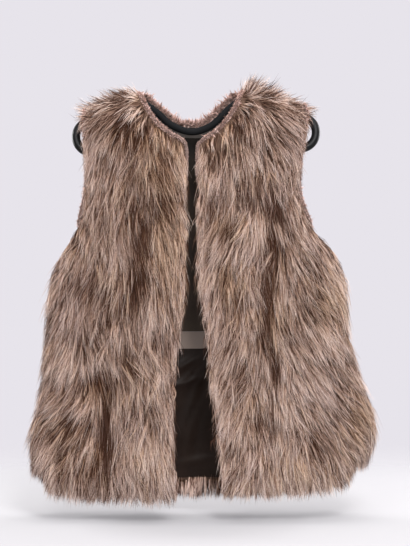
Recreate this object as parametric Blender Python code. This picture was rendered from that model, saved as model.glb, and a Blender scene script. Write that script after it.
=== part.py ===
"""A fur vest hanging on a ring-ended hanger.

Metres, +Z up, the vest's front towards -Y. Left and right are as seen from the front.
The origin is the middle of the hanger's bar, where the hanger is held.
Each fur panel is a thick wall: its inside is the dressed skin and its outside is the lie of the pile.
"""

import math
from collections import namedtuple

import bmesh
import bpy
import numpy as np

COLLECTION = "fur_vest"

# Make-up of the cloth
SEAM_GAP = 0.0003
SKIN_THICKNESS = 0.002
PILE_DEPTH = 0.023
LINING_THICKNESS = 0.001
LINING_GAP = 0.0006
TAPE_THICKNESS = 0.0016
FRONT_ROLL_RADIUS = 0.0027
BACK_ROLL_RADIUS = 0.0043
ARMHOLE_ROLL_RADIUS = 0.0033
ROLL_GAP = 0.0006
ROLL_FLATNESS = 0.85

# How the vest hangs: half depth of the hollow, and how it closes at the seams
HOLLOW_HEIGHTS = (-0.60, -0.40, -0.20, 0.0)
HOLLOW_HALF_DEPTHS = (0.056, 0.052, 0.048, 0.041)
SIDE_ROUNDNESS = 2.4
SHOULDER_FALL = 0.12
ARMHOLE_EDGE_SHARE = 0.80
ARMHOLE_OPENS_OVER = 0.14

# Share of the pile left at each edge, and how far in it grows to its full depth
NECK_PILE_SHARE = 0.20
OPENING_PILE_SHARE = 0.55
ARMHOLE_PILE_SHARE = 0.36
SHOULDER_PILE_SHARE = 0.85
SIDE_PILE_SHARE = 0.78
HEM_PILE_SHARE = 0.62
TAPER_WIDTH = 0.038

# Where strips of the back's inside begin and end, as shares of its height
LINING_HEM = 0.042
TAPE_BOTTOM = 0.392
TAPE_TOP = 0.438
FACING_BOTTOM = 0.972
FACING_TOP = 0.997
FRONT_ROLL_FROM = -0.105
ARMHOLE_ROLL_FROM = 0.075

# Grid steps
FRONT_STEPS = (15, 31)
BACK_STEPS = (28, 31)
ROLL_SIDES = 8
FINE_STEPS = 600

# The hanger
RING_RADIUS = 0.0262
RING_TUBE_RADIUS = 0.0070
BAR_RADIUS = 0.0058
RING_STEPS = (36, 12)
BAR_POINTS = 44
RingPlace = namedtuple("RingPlace", "x z")
RINGS = {"left": RingPlace(-0.1667, -0.008), "right": RingPlace(0.1766, -0.001)}
BarPoint = namedtuple("BarPoint", "x z")
BAR_LINE = (
    BarPoint(-0.1667, 0.0175),
    BarPoint(-0.140, 0.0290),
    BarPoint(-0.104, 0.0440),
    BarPoint(-0.084, 0.0470),
    BarPoint(-0.062, 0.0340),
    BarPoint(-0.036, 0.0115),
    BarPoint(0.0, 0.0),
    BarPoint(0.034, 0.0130),
    BarPoint(0.056, 0.0350),
    BarPoint(0.078, 0.0500),
    BarPoint(0.100, 0.0480),
    BarPoint(0.140, 0.0365),
    BarPoint(0.1766, 0.0245),
)

# Cut lines of the panels in the front view. Each table runs upwards or outwards.
Outline = namedtuple("Outline", "left_x left_z right_x right_z")
NECK_POINT = Outline(-0.0884, 0.0610, 0.0815, 0.0650)
SHOULDER_TIP = Outline(-0.1715, 0.0267, 0.1794, 0.0340)
UNDERARM = Outline(-0.205, -0.199, 0.223, -0.199)
HEM_SIDE = Outline(-0.249, -0.551, 0.270, -0.538)
HEM_FRONT = Outline(-0.030, -0.597, 0.053, -0.588)
NECK_CORNER = Outline(-0.0139, -0.0290, 0.0112, -0.0300)
SIDE_SEAM = (
    HEM_SIDE,
    Outline(-0.2465, -0.510, 0.2765, -0.485),
    Outline(-0.232, -0.460, 0.261, -0.430),
    Outline(-0.2235, -0.380, 0.239, -0.365),
    Outline(-0.218, -0.290, 0.2295, -0.300),
    Outline(-0.212, -0.235, 0.230, -0.238),
    UNDERARM,
)
ARMHOLE = (
    UNDERARM,
    Outline(-0.190, -0.172, 0.199, -0.170),
    Outline(-0.171, -0.116, 0.171, -0.116),
    Outline(-0.1660, -0.065, 0.1665, -0.070),
    Outline(-0.1670, -0.015, 0.173, -0.015),
    SHOULDER_TIP,
)
FRONT_EDGE = (
    HEM_FRONT,
    Outline(-0.033, -0.500, 0.048, -0.500),
    Outline(-0.032, -0.400, 0.039, -0.410),
    Outline(-0.026, -0.330, 0.027, -0.330),
    Outline(-0.0165, -0.265, 0.018, -0.265),
    Outline(-0.0130, -0.200, 0.0122, -0.200),
    Outline(-0.0133, -0.110, 0.0106, -0.110),
    Outline(-0.0133, -0.055, 0.0106, -0.055),
    NECK_CORNER,
)
FRONT_NECK = (
    NECK_CORNER,
    Outline(-0.0150, -0.0238, 0.0124, -0.0248),
    Outline(-0.0190, -0.0205, 0.0165, -0.0207),
    Outline(-0.0350, -0.0115, 0.0265, -0.0140),
    Outline(-0.0490, -0.0012, 0.0425, -0.0030),
    Outline(-0.0645, 0.0145, 0.0595, 0.0160),
    Outline(-0.0785, 0.0355, 0.0715, 0.0350),
    NECK_POINT,
)
FRONT_HEM = (
    HEM_FRONT,
    Outline(-0.090, -0.597, 0.110, -0.588),
    Outline(-0.160, -0.596, 0.170, -0.586),
    Outline(-0.210, -0.591, 0.222, -0.579),
    Outline(-0.240, -0.577, 0.257, -0.563),
    HEM_SIDE,
)
BACK_HEM = (
    Outline(0.0, -0.603, 0.0, -0.603),
    Outline(-0.110, -0.604, 0.120, -0.600),
    Outline(-0.198, -0.599, 0.210, -0.589),
    Outline(-0.240, -0.582, 0.256, -0.568),
    HEM_SIDE,
)
BACK_NECK = (
    Outline(-0.005, 0.0115, -0.005, 0.0115),
    Outline(-0.0290, 0.0145, 0.0180, 0.0130),
    Outline(-0.0460, 0.0270, 0.0340, 0.0245),
    Outline(-0.0650, 0.0415, 0.0560, 0.0435),
    NECK_POINT,
)

# Soft vertical folds. Depth is how far the cloth falls back towards the inside; a ridge is negative.
Fold = namedtuple("Fold", "x_top x_hem top depth width")
FRONT_FOLDS = (
    Fold(-0.118, -0.138, -0.33, 0.011, 0.030),
    Fold(-0.060, -0.082, -0.20, -0.006, 0.034),
    Fold(-0.170, -0.200, -0.36, -0.007, 0.032),
    Fold(0.112, 0.132, -0.28, 0.011, 0.028),
    Fold(0.075, 0.085, -0.22, -0.006, 0.032),
    Fold(0.165, 0.196, -0.34, -0.008, 0.034),
)
BACK_FOLDS = (
    Fold(-0.120, -0.165, -0.26, 0.010, 0.032),
    Fold(-0.040, -0.060, -0.30, 0.009, 0.032),
    Fold(0.045, 0.060, -0.24, 0.010, 0.034),
    Fold(0.125, 0.170, -0.30, 0.011, 0.032),
)
FOLD_GROWTH = 0.16

# Partings between locks and pelts, as troughs in the pile alone. Depth is a share of the pile.
Parting = namedtuple("Parting", "x_top z_top x_bottom z_bottom depth width")
FRONT_PARTINGS = (
    Parting(-0.104, -0.015, -0.092, -0.220, 0.32, 0.013),
    Parting(-0.047, -0.085, -0.058, -0.260, 0.30, 0.012),
    Parting(-0.146, -0.190, -0.154, -0.330, 0.24, 0.013),
    Parting(-0.150, -0.360, -0.128, -0.450, 0.36, 0.016),
    Parting(-0.085, -0.330, -0.100, -0.540, 0.26, 0.014),
    Parting(0.125, -0.090, 0.128, -0.300, 0.32, 0.013),
    Parting(0.062, -0.030, 0.070, -0.190, 0.24, 0.012),
    Parting(0.098, -0.330, 0.112, -0.520, 0.34, 0.015),
    Parting(0.180, -0.250, 0.200, -0.350, 0.26, 0.014),
    Parting(0.165, -0.450, 0.220, -0.505, 0.28, 0.014),
)
BACK_PARTINGS = (
    Parting(-0.135, -0.060, -0.120, -0.270, 0.30, 0.014),
    Parting(-0.060, -0.030, -0.070, -0.260, 0.28, 0.013),
    Parting(0.012, -0.070, 0.004, -0.330, 0.30, 0.013),
    Parting(0.080, -0.040, 0.092, -0.250, 0.28, 0.014),
    Parting(0.145, -0.110, 0.150, -0.300, 0.28, 0.013),
    Parting(-0.100, -0.330, -0.115, -0.540, 0.30, 0.015),
    Parting(0.085, -0.320, 0.100, -0.520, 0.30, 0.015),
)

Finish = namedtuple("Finish", "colour roughness")
FINISHES = {
    "fur": Finish((0.27, 0.18, 0.135), 0.85),
    "sheared_edge": Finish((0.33, 0.22, 0.19), 0.9),
    "satin_lining": Finish((0.016, 0.011, 0.009), 0.38),
    "upper_lining": Finish((0.024, 0.021, 0.018), 0.55),
    "neck_facing": Finish((0.020, 0.019, 0.018), 0.42),
    "ribbon": Finish((0.20, 0.165, 0.14), 0.35),
    "hanger_plastic": Finish((0.012, 0.012, 0.013), 0.28),
}


def smooth_step(value):
    """0 below 0, 1 above 1, and an even S-curve between."""
    value = np.clip(value, 0.0, 1.0)
    return value * value * (3.0 - 2.0 * value)


def on_side(rows, side):
    """The (x, z) points of one side of an outline table."""
    pick = slice(0, 2) if side == "left" else slice(2, 4)
    return np.array([row[pick] for row in rows])


def whole_line(rows):
    """A table that runs out from the middle, as one line from the left end to the right end."""
    left = on_side(rows, "left")[::-1]
    return np.concatenate([left, on_side(rows, "right")[1:]])


def smooth_line(points, shares):
    """Points at these shares of the length of a smooth curve through the given points."""
    points = np.asarray(points, float)
    chord = np.concatenate([[0.0], np.cumsum(np.linalg.norm(np.diff(points, axis=0), axis=1))])
    slope = np.gradient(points, chord, axis=0)
    fine = np.linspace(0.0, chord[-1], FINE_STEPS)
    first = np.clip(np.searchsorted(chord, fine, side="right") - 1, 0, len(chord) - 2)
    span = (chord[first + 1] - chord[first])[:, None]
    t = (fine - chord[first])[:, None] / span
    curve = (
        (1 + 2 * t) * (1 - t) ** 2 * points[first]
        + t * (1 - t) ** 2 * span * slope[first]
        + t * t * (3 - 2 * t) * points[first + 1]
        + t * t * (t - 1) * span * slope[first + 1]
    )
    along = np.concatenate([[0.0], np.cumsum(np.linalg.norm(np.diff(curve, axis=0), axis=1))])
    return np.stack([np.interp(shares, along / along[-1], curve[:, k]) for k in (0, 1)], axis=1)


def line_length(points):
    return np.linalg.norm(np.diff(smooth_line(points, np.linspace(0, 1, FINE_STEPS)), axis=0), axis=1).sum()


def filled_outline(bottom, top, start, end, across, up):
    """A Coons patch: the (x, z) points inside four edge lines, by shares across and up."""
    u = across[None, :, None]
    v = up[:, None, None]
    ruled = (1 - v) * bottom[None] + v * top[None] + (1 - u) * start[:, None] + u * end[:, None]
    low = (1 - u) * bottom[0] + u * bottom[-1]
    high = (1 - u) * top[0] + u * top[-1]
    return ruled - (1 - v) * low - v * high


def shares_up(steps):
    """Row heights from hem to shoulder, closer together where the shoulder turns over."""
    return 1.0 - (1.0 - np.linspace(0.0, 1.0, steps + 1)) ** 1.5


def shoulder_height(x, side):
    """Height of the shoulder seam's line, carried on towards the middle."""
    near = np.array(on_side([NECK_POINT], side)[0])
    far = np.array(on_side([SHOULDER_TIP], side)[0])
    return near[1] + (x - near[0]) * (far[1] - near[1]) / (far[0] - near[0])


def side_line(side):
    return on_side(SIDE_SEAM + ARMHOLE[1:], side)


def underarm_share(side):
    """The share of a side's length, hem to shoulder tip, that is sewn."""
    return line_length(on_side(SIDE_SEAM, side)) / line_length(side_line(side))


def fold_depth(x, z, folds):
    """How far the cloth falls back at each point: a soft trough along each fold's line, growing to the hem."""
    total = np.zeros_like(x)
    hem = HEM_FRONT.left_z
    for fold in folds:
        down = np.clip((fold.top - z) / (fold.top - hem), 0.0, 1.0)
        middle = fold.x_top + (fold.x_hem - fold.x_top) * down
        grown = smooth_step((fold.top - z) / FOLD_GROWTH)
        total += fold.depth * grown * np.exp(-(((x - middle) / fold.width) ** 2))
    return total


def parting_share(x, z, partings):
    """The share of the pile that is left at each point, less in the troughs between locks."""
    left = np.ones_like(x)
    for part in partings:
        along = (part.z_top - z) / (part.z_top - part.z_bottom)
        middle = part.x_top + (part.x_bottom - part.x_top) * np.clip(along, 0.0, 1.0)
        fade = smooth_step(along * 4.0) * smooth_step((1.0 - along) * 4.0)
        left *= 1.0 - part.depth * fade * np.exp(-(((x - middle) / part.width) ** 2))
    return left


def unit(vectors):
    return vectors / np.maximum(np.linalg.norm(vectors, axis=-1, keepdims=True), 1e-12)


def edge_distance(plan, axis, from_end=False):
    """Distance from one edge of the panel, measured along its grid lines."""
    step = np.linalg.norm(np.diff(plan, axis=axis), axis=2)
    run = np.cumsum(step, axis=axis)
    pad = [(0, 0), (0, 0)]
    pad[axis] = (1, 0)
    run = np.pad(run, pad)
    return run.take([-1], axis=axis) - run if from_end else run


def taper(distance, share):
    """Grows from a share at an edge to 1 at the taper's width."""
    return share + (1.0 - share) * smooth_step(distance / TAPER_WIDTH)


Panel = namedtuple("Panel", "inner outer normal plan up")


def hung_panel(plan, up, reach, opened, facing, side_of, folds, sewn, pile):
    """The skin and the pile surface of a panel that hangs from its shoulder seam.

    plan is the cut in the front view. reach is 0 at the middle and 1 at the side, opened is the share of the
    half width at which the cut ends, and sewn marks the points of the side and shoulder seams.
    """
    x, z = plan[..., 0], plan[..., 1]
    drop = np.where(side_of < 0, shoulder_height(x, "left"), shoulder_height(x, "right")) - z
    across = (1.0 - np.clip(reach * opened, 0.0, 1.0) ** SIDE_ROUNDNESS) ** (1.0 / SIDE_ROUNDNESS)
    over = np.sqrt(1.0 - (1.0 - np.clip(drop / SHOULDER_FALL, 0.0, 1.0)) ** 2)
    hollow = np.interp(z, HOLLOW_HEIGHTS, HOLLOW_HALF_DEPTHS)
    depth = (hollow - fold_depth(x, z, folds)) * across * over
    depth[sewn] = 0.0
    inner = np.stack([x, facing * (SEAM_GAP / 2 + depth), z], axis=2)
    normal = unit(np.cross(np.gradient(inner, axis=1), np.gradient(inner, axis=0)))
    normal *= facing * np.sign(normal[..., 1].mean())
    normal[..., 1] = facing * np.maximum(facing * normal[..., 1], 0.0)
    flat = normal.copy()
    flat[..., 1] = 0.0
    normal = unit(np.where(sewn[..., None], flat, normal))
    outer = inner + normal * (SKIN_THICKNESS + PILE_DEPTH * pile)[..., None]
    outer[..., 1] = facing * np.maximum(facing * outer[..., 1], SEAM_GAP / 2)
    return Panel(inner, outer, normal, plan, up)


def opened_share(up, side):
    """1 along the side seam, and less up the armhole, whose edges stand apart."""
    past = (up - underarm_share(side)) / ARMHOLE_OPENS_OVER
    return 1.0 - (1.0 - ARMHOLE_EDGE_SHARE) * smooth_step(past)


def side_pile_share(up, side):
    """Share of the pile along the side: short up the armhole, fuller on the shoulder and down the side seam."""
    arm = underarm_share(side)
    places = (0.0, arm - 0.16, arm - 0.02, arm + 0.10, 0.90, 1.0)
    shares = (SIDE_PILE_SHARE, SIDE_PILE_SHARE, ARMHOLE_PILE_SHARE, ARMHOLE_PILE_SHARE, 0.45, SHOULDER_PILE_SHARE)
    return np.interp(up, places, shares)


def front_panel(side, steps=FRONT_STEPS):
    """One front: u runs from the front edge and neck to the side, v from the hem to the shoulder."""
    across = np.sin(np.linspace(0.0, math.pi / 2, steps[0] + 1))
    up = shares_up(steps[1])
    shoulder = np.concatenate([on_side([NECK_POINT], side), on_side([SHOULDER_TIP], side)])
    edge_points = on_side(FRONT_EDGE + FRONT_NECK[1:], side)
    plan = filled_outline(
        smooth_line(on_side(FRONT_HEM, side), across),
        shoulder[0] + across[:, None] * (shoulder[1] - shoulder[0]),
        smooth_line(edge_points, up),
        smooth_line(side_line(side), up),
        across,
        up,
    )
    reach = np.broadcast_to(across, plan.shape[:2])
    below_arm = up <= underarm_share(side)
    sewn = np.zeros(plan.shape[:2], bool)
    sewn[below_arm, -1] = True
    sewn[-1, :] = True
    neck_share = np.where(plan[:, 0, 1] > FRONT_ROLL_FROM, NECK_PILE_SHARE, OPENING_PILE_SHARE)
    arm_share = side_pile_share(up, side)
    pile = (
        taper(edge_distance(plan, 1), neck_share[:, None])
        * taper(edge_distance(plan, 1, from_end=True), arm_share[:, None])
        * taper(edge_distance(plan, 0), HEM_PILE_SHARE)
        * parting_share(plan[..., 0], plan[..., 1], FRONT_PARTINGS)
    )
    side_of = np.full(plan.shape[:2], -1.0 if side == "left" else 1.0)
    opened = opened_share(up, side)[:, None]
    return hung_panel(plan, up, reach, opened, -1.0, side_of, FRONT_FOLDS, sewn, pile)


def back_top(across):
    """The back's top edge: left shoulder seam, neck curve and right shoulder seam, by its length."""
    neck = smooth_line(whole_line(BACK_NECK), np.linspace(0.0, 1.0, FINE_STEPS))
    left_tip = on_side([SHOULDER_TIP], "left")
    right_tip = on_side([SHOULDER_TIP], "right")
    line = np.concatenate([left_tip, neck, right_tip])
    along = np.concatenate([[0.0], np.cumsum(np.linalg.norm(np.diff(line, axis=0), axis=1))])
    along /= along[-1]
    neck_from, neck_to = along[1], along[-2]
    points = np.stack([np.interp(across, along, line[:, k]) for k in (0, 1)], axis=1)
    return points, neck_from, neck_to


def back_panel(steps=BACK_STEPS):
    """The back: u runs from the left side to the right side, v from the hem to the shoulders and neck."""
    turn = np.linspace(-math.pi / 2, math.pi / 2, steps[0] + 1)
    across = (1.0 + np.sin(turn)) / 2.0
    up = shares_up(steps[1])
    top, neck_from, neck_to = back_top(across)
    across_neck = [np.argmin(np.abs(across - share)) for share in (neck_from, neck_to)]
    across[across_neck] = (neck_from, neck_to)
    top = back_top(across)[0]
    plan = filled_outline(
        smooth_line(whole_line(BACK_HEM), across),
        top,
        smooth_line(side_line("left"), up),
        smooth_line(side_line("right"), up),
        across,
        up,
    )
    side_of = np.where(plan[..., 0] < 0, -1.0, 1.0)
    reach = np.broadcast_to(np.abs(2.0 * across - 1.0), plan.shape[:2])
    opened = np.where(side_of < 0, opened_share(up, "left")[:, None], opened_share(up, "right")[:, None])
    below_left = up <= underarm_share("left")
    below_right = up <= underarm_share("right")
    on_shoulder = (across <= neck_from + 1e-6) | (across >= neck_to - 1e-6)
    sewn = np.zeros(plan.shape[:2], bool)
    sewn[below_left, 0] = True
    sewn[below_right, -1] = True
    sewn[-1, on_shoulder] = True
    left_share = side_pile_share(up, "left")
    right_share = side_pile_share(up, "right")
    past_neck = np.minimum(np.abs(across - neck_from), np.abs(across - neck_to))
    neck_share = np.where(on_shoulder, NECK_PILE_SHARE + smooth_step(past_neck / 0.08), NECK_PILE_SHARE)
    pile = (
        taper(edge_distance(plan, 1), left_share[:, None])
        * taper(edge_distance(plan, 1, from_end=True), right_share[:, None])
        * taper(edge_distance(plan, 0), HEM_PILE_SHARE)
        * taper(edge_distance(plan, 0, from_end=True), np.minimum(neck_share, 1.0)[None, :])
        * parting_share(plan[..., 0], plan[..., 1], BACK_PARTINGS)
    )
    panel = hung_panel(plan, up, reach, opened, 1.0, side_of, BACK_FOLDS, sewn, pile)
    return panel, ~on_shoulder


def rows_at(grid, up, heights):
    """Rows of a grid at other shares of its height."""
    flat = grid.reshape(len(up), -1)
    rows = np.stack([np.interp(heights, up, column) for column in flat.T], axis=1)
    return rows.reshape(len(heights), *grid.shape[1:])


def new_material(name):
    finish = FINISHES[name]
    material = bpy.data.materials.new(name)
    material.use_nodes = True
    shader = material.node_tree.nodes["Principled BSDF"]
    shader.inputs["Base Color"].default_value = (*finish.colour, 1.0)
    shader.inputs["Roughness"].default_value = finish.roughness
    return material


def new_part(name, mesh, material):
    """A named object in the vest's collection, shaded smooth but at sharp edges."""
    bm = bmesh.new()
    bm.from_mesh(mesh)
    bmesh.ops.recalc_face_normals(bm, faces=bm.faces)
    bm.to_mesh(mesh)
    bm.free()
    mesh.shade_smooth()
    mesh.set_sharp_from_angle(angle=math.radians(50))
    mesh.materials.append(material)
    part = bpy.data.objects.new(name, mesh)
    bpy.data.collections[COLLECTION].objects.link(part)
    return part


def grid_faces(rows, columns, offset=0):
    """Quads of a grid of points stored row by row."""
    corner = (np.arange(rows - 1)[:, None] * columns + np.arange(columns - 1)).ravel() + offset
    return np.stack([corner, corner + 1, corner + columns + 1, corner + columns], axis=1)


def wall_between(name, near, far, material):
    """A closed wall lofted between two grids of the same size."""
    rows, columns = near.shape[:2]
    count = rows * columns
    index = np.arange(count).reshape(rows, columns)
    rim = np.concatenate([index[0, :-1], index[:-1, -1], index[-1, :0:-1], index[:0:-1, 0]])
    after = np.roll(rim, -1)
    sides = np.stack([rim, after, after + count, rim + count], axis=1)
    faces = np.concatenate([grid_faces(rows, columns)[:, ::-1], grid_faces(rows, columns, count), sides])
    points = np.concatenate([near.reshape(-1, 3), far.reshape(-1, 3)])
    mesh = bpy.data.meshes.new(name)
    mesh.from_pydata(points.tolist(), [], faces.tolist())
    return new_part(name, mesh, material)


def inside_strip(name, back, columns, low, high, thickness, material):
    """A strip that lies on the back's inside, made from the skin's own points moved in."""
    between = back.up[(back.up > low + 0.004) & (back.up < high - 0.004)]
    heights = np.concatenate([[low], between, [high]])
    skin = rows_at(back.inner, back.up, heights)[:, columns]
    inwards = -unit(rows_at(back.normal, back.up, heights))[:, columns]
    return wall_between(name, skin + inwards * LINING_GAP, skin + inwards * (LINING_GAP + thickness), material)


def edge_roll(name, inner, outer, inside, facing, radius, material):
    """A turned edge: a flattened roll along a panel's edge, from its inner and outer edge lines."""
    through = unit(outer - inner)
    away = unit(np.cross(np.gradient(inner + outer, axis=0), through))
    away *= np.sign(((inner - inside) * away).sum(axis=1, keepdims=True))
    half = np.linalg.norm(outer - inner, axis=1, keepdims=True) * ROLL_FLATNESS / 2
    middle = (inner + outer) / 2 + away * (radius + ROLL_GAP)
    turn = np.linspace(0.0, 2 * math.pi, ROLL_SIDES, endpoint=False)[None, :, None]
    ring = middle[:, None] + away[:, None] * radius * np.cos(turn) + (through * half)[:, None] * np.sin(turn)
    ring[..., 1] = facing * np.maximum(facing * ring[..., 1], SEAM_GAP / 2)
    closed = np.concatenate([ring, ring[:, :1]], axis=1)
    rows = len(ring)
    faces = grid_faces(rows, ROLL_SIDES + 1)
    column = faces % (ROLL_SIDES + 1) % ROLL_SIDES
    faces = faces // (ROLL_SIDES + 1) * ROLL_SIDES + column
    first_cap = list(range(ROLL_SIDES))
    last_cap = list(range((rows - 1) * ROLL_SIDES, rows * ROLL_SIDES))
    mesh = bpy.data.meshes.new(name)
    mesh.from_pydata(closed[:, :-1].reshape(-1, 3).tolist(), [], faces.tolist() + [first_cap, last_cap])
    return new_part(name, mesh, material)


def armhole_rows(panel, side):
    """Rows of an armhole's edge, from where the front and back stand far enough apart for both rolls."""
    return panel.up > underarm_share(side) + ARMHOLE_ROLL_FROM


def make_fronts(fur, edge):
    """Both fronts with the turned edges of their necks and armholes."""
    for side in ("left", "right"):
        panel = front_panel(side)
        wall_between(f"front_{side}", panel.inner, panel.outer, fur)
        neck = panel.inner[:, 0, 2] > FRONT_ROLL_FROM
        edge_roll(
            f"neck_roll_{side}",
            panel.inner[neck, 0],
            panel.outer[neck, 0],
            panel.inner[neck, 1],
            -1.0,
            FRONT_ROLL_RADIUS,
            edge,
        )
        arm = armhole_rows(panel, side)
        edge_roll(
            f"armhole_roll_front_{side}",
            panel.inner[arm, -1],
            panel.outer[arm, -1],
            panel.inner[arm, -2],
            -1.0,
            ARMHOLE_ROLL_RADIUS,
            edge,
        )


def make_back(fur, edge):
    """The back with the turned edges of its neck and armholes. Returns its panel and its neck columns."""
    panel, in_neck = back_panel()
    wall_between("back", panel.inner, panel.outer, fur)
    edge_roll(
        "neck_roll_back",
        panel.inner[-1, in_neck],
        panel.outer[-1, in_neck],
        panel.inner[-2, in_neck],
        1.0,
        BACK_ROLL_RADIUS,
        edge,
    )
    for side, column, next_column in (("left", 0, 1), ("right", -1, -2)):
        arm = armhole_rows(panel, side)
        edge_roll(
            f"armhole_roll_back_{side}",
            panel.inner[arm, column],
            panel.outer[arm, column],
            panel.inner[arm, next_column],
            1.0,
            ARMHOLE_ROLL_RADIUS,
            edge,
        )
    return panel, in_neck


def make_lining(back, in_neck):
    """What shows of the inside: the back's lining in two lengths, the ribbon between them and the neck facing."""
    shares = SEAM_GAP / abs(BACK_HEM[0].left_z - BACK_NECK[0].left_z)
    strips = (
        ("back_lining_lower", LINING_HEM, TAPE_BOTTOM - shares, LINING_THICKNESS, "satin_lining"),
        ("waist_tape", TAPE_BOTTOM, TAPE_TOP, TAPE_THICKNESS, "ribbon"),
        ("back_lining_upper", TAPE_TOP + shares, FACING_BOTTOM - shares, LINING_THICKNESS, "upper_lining"),
        ("neck_facing", FACING_BOTTOM, FACING_TOP, LINING_THICKNESS, "neck_facing"),
    )
    for name, low, high, thickness, finish in strips:
        columns = in_neck if name == "neck_facing" else slice(None)
        inside_strip(name, back, columns, low, high, thickness, new_material(finish))


def ring_mesh(place, name):
    bpy.ops.mesh.primitive_torus_add(
        location=(place.x, 0.0, place.z),
        rotation=(math.pi / 2, 0.0, 0.0),
        major_radius=RING_RADIUS,
        minor_radius=RING_TUBE_RADIUS,
        major_segments=RING_STEPS[0],
        minor_segments=RING_STEPS[1],
    )
    ring = bpy.context.object
    ring.name = name
    ring.hide_render = True
    ring.display_type = "WIRE"
    return ring


def make_hanger(material):
    """A bent bar that dips under the neck, with a ring joined on at each end."""
    line = smooth_line(np.array(BAR_LINE), np.linspace(0.0, 1.0, BAR_POINTS))
    curve = bpy.data.curves.new("hanger_line", "CURVE")
    curve.dimensions = "3D"
    curve.bevel_depth = BAR_RADIUS
    curve.bevel_resolution = 3
    curve.use_fill_caps = True
    spline = curve.splines.new("POLY")
    spline.points.add(len(line) - 1)
    for point, (x, z) in zip(spline.points, line):
        point.co = (x, 0.0, z, 1.0)
    guide = bpy.data.objects.new("hanger_guide", curve)
    bpy.context.scene.collection.objects.link(guide)
    bpy.context.view_layer.update()
    mesh = bpy.data.meshes.new_from_object(guide.evaluated_get(bpy.context.evaluated_depsgraph_get()))
    bpy.data.objects.remove(guide)
    bm = bmesh.new()
    bm.from_mesh(mesh)
    bmesh.ops.remove_doubles(bm, verts=bm.verts, dist=0.00001)
    bm.to_mesh(mesh)
    bm.free()
    hanger = new_part("hanger", mesh, material)
    for side, place in RINGS.items():
        ring = ring_mesh(place, f"ring_guide_{side}")
        for collection in list(ring.users_collection):
            collection.objects.unlink(ring)
        bpy.data.collections["guides"].objects.link(ring)
        join = hanger.modifiers.new(f"join_{side}", "BOOLEAN")
        join.operation = "UNION"
        join.object = ring


def main():
    for obj in list(bpy.data.objects):
        bpy.data.objects.remove(obj)
    for name in (COLLECTION, "guides"):
        collection = bpy.data.collections.new(name)
        bpy.context.scene.collection.children.link(collection)
    fur = new_material("fur")
    edge = new_material("sheared_edge")
    make_fronts(fur, edge)
    make_lining(*make_back(fur, edge))
    make_hanger(new_material("hanger_plastic"))


main()
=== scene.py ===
"""A long-haired fur vest on a ring-ended hanger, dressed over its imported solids.

Metres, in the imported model's frame: +Z up, the vest's front towards -Y.
Left and right are as seen from the front.
"""

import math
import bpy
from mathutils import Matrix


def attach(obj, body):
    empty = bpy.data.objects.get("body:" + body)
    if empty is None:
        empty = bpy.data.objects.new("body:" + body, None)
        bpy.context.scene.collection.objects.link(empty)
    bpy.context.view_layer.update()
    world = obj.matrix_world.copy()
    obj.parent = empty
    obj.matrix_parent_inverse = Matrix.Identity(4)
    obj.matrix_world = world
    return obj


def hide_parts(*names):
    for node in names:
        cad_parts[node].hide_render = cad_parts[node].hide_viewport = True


bl_info = {
    "name": "Fur Vest",
    "version": (1, 0, 0),
    "blender": (4, 5, 0),
    "location": "3D View > Sidebar > Fur Vest",
    "description": "Builds a long-haired fur vest with its lining, its hanger and a studio stage",
    "category": "Add Mesh",
}

from collections import namedtuple

import bmesh
import bpy
import numpy as np

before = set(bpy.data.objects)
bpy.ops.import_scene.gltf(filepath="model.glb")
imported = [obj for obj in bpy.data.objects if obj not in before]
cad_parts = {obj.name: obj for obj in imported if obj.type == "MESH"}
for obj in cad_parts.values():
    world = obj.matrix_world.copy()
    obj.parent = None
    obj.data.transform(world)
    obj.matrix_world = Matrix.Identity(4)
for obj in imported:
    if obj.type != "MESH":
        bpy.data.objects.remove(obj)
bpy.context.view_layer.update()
BODY = "root"


def table(row_type, *rows):
    """Rows of numbers as rows with named columns."""
    return tuple(row_type(*row) for row in rows)


# Make-up of the cloth, as in the solids
SEAM_GAP = 0.0003
SKIN_THICKNESS = 0.002
PILE_DEPTH = 0.023
LINING_THICKNESS = 0.001
LINING_GAP = 0.0006
TAPE_THICKNESS = 0.0016
FRONT_ROLL_RADIUS = 0.0027
BACK_ROLL_RADIUS = 0.0043
ARMHOLE_ROLL_RADIUS = 0.0033
ROLL_GAP = 0.0006
ROLL_FLATNESS = 0.85

# How the vest hangs: half depth of the hollow, and how it closes at the seams
HOLLOW_HEIGHTS = (-0.60, -0.40, -0.20, 0.0)
HOLLOW_HALF_DEPTHS = (0.056, 0.052, 0.048, 0.041)
SIDE_ROUNDNESS = 2.4
SHOULDER_FALL = 0.12
ARMHOLE_EDGE_SHARE = 0.80
ARMHOLE_OPENS_OVER = 0.14

# Share of the pile left at each edge, and how far in it grows to its full depth
NECK_PILE_SHARE = 0.20
OPENING_PILE_SHARE = 0.55
ARMHOLE_PILE_SHARE = 0.36
SHOULDER_PILE_SHARE = 0.85
SIDE_PILE_SHARE = 0.78
HEM_PILE_SHARE = 0.62
TAPER_WIDTH = 0.038

# Share of the hair's length left at each edge, and how far in it grows to its full length
NECK_HAIR_SHARE = 0.42
OPENING_HAIR_SHARE = 0.55
ARMHOLE_HAIR_SHARE = 0.40
SHOULDER_HAIR_SHARE = 0.9
HAIR_TAPER_WIDTH = 0.024

# Heights over which the front edge's pile and hair pass into the neck's, and the same along the back's top
ROLL_BLEND = 0.03
BARE_FROM = -0.075
BARE_OVER = 0.045
BACK_NECK_BLEND = 0.08

# Places along a side, as shares of its length: around the underarm, and near the shoulder's tip
UNDERARM_BEFORE = 0.08
UNDERARM_PAST = 0.01
ARMHOLE_UNTIL = 0.10
SHOULDER_NEAR = 0.90
SHOULDER_NEAR_SHARE = 0.18
TIP_PLACES = (0.91, 0.965)
TIP_OVERHANGS = (1.3, 3)

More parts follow.
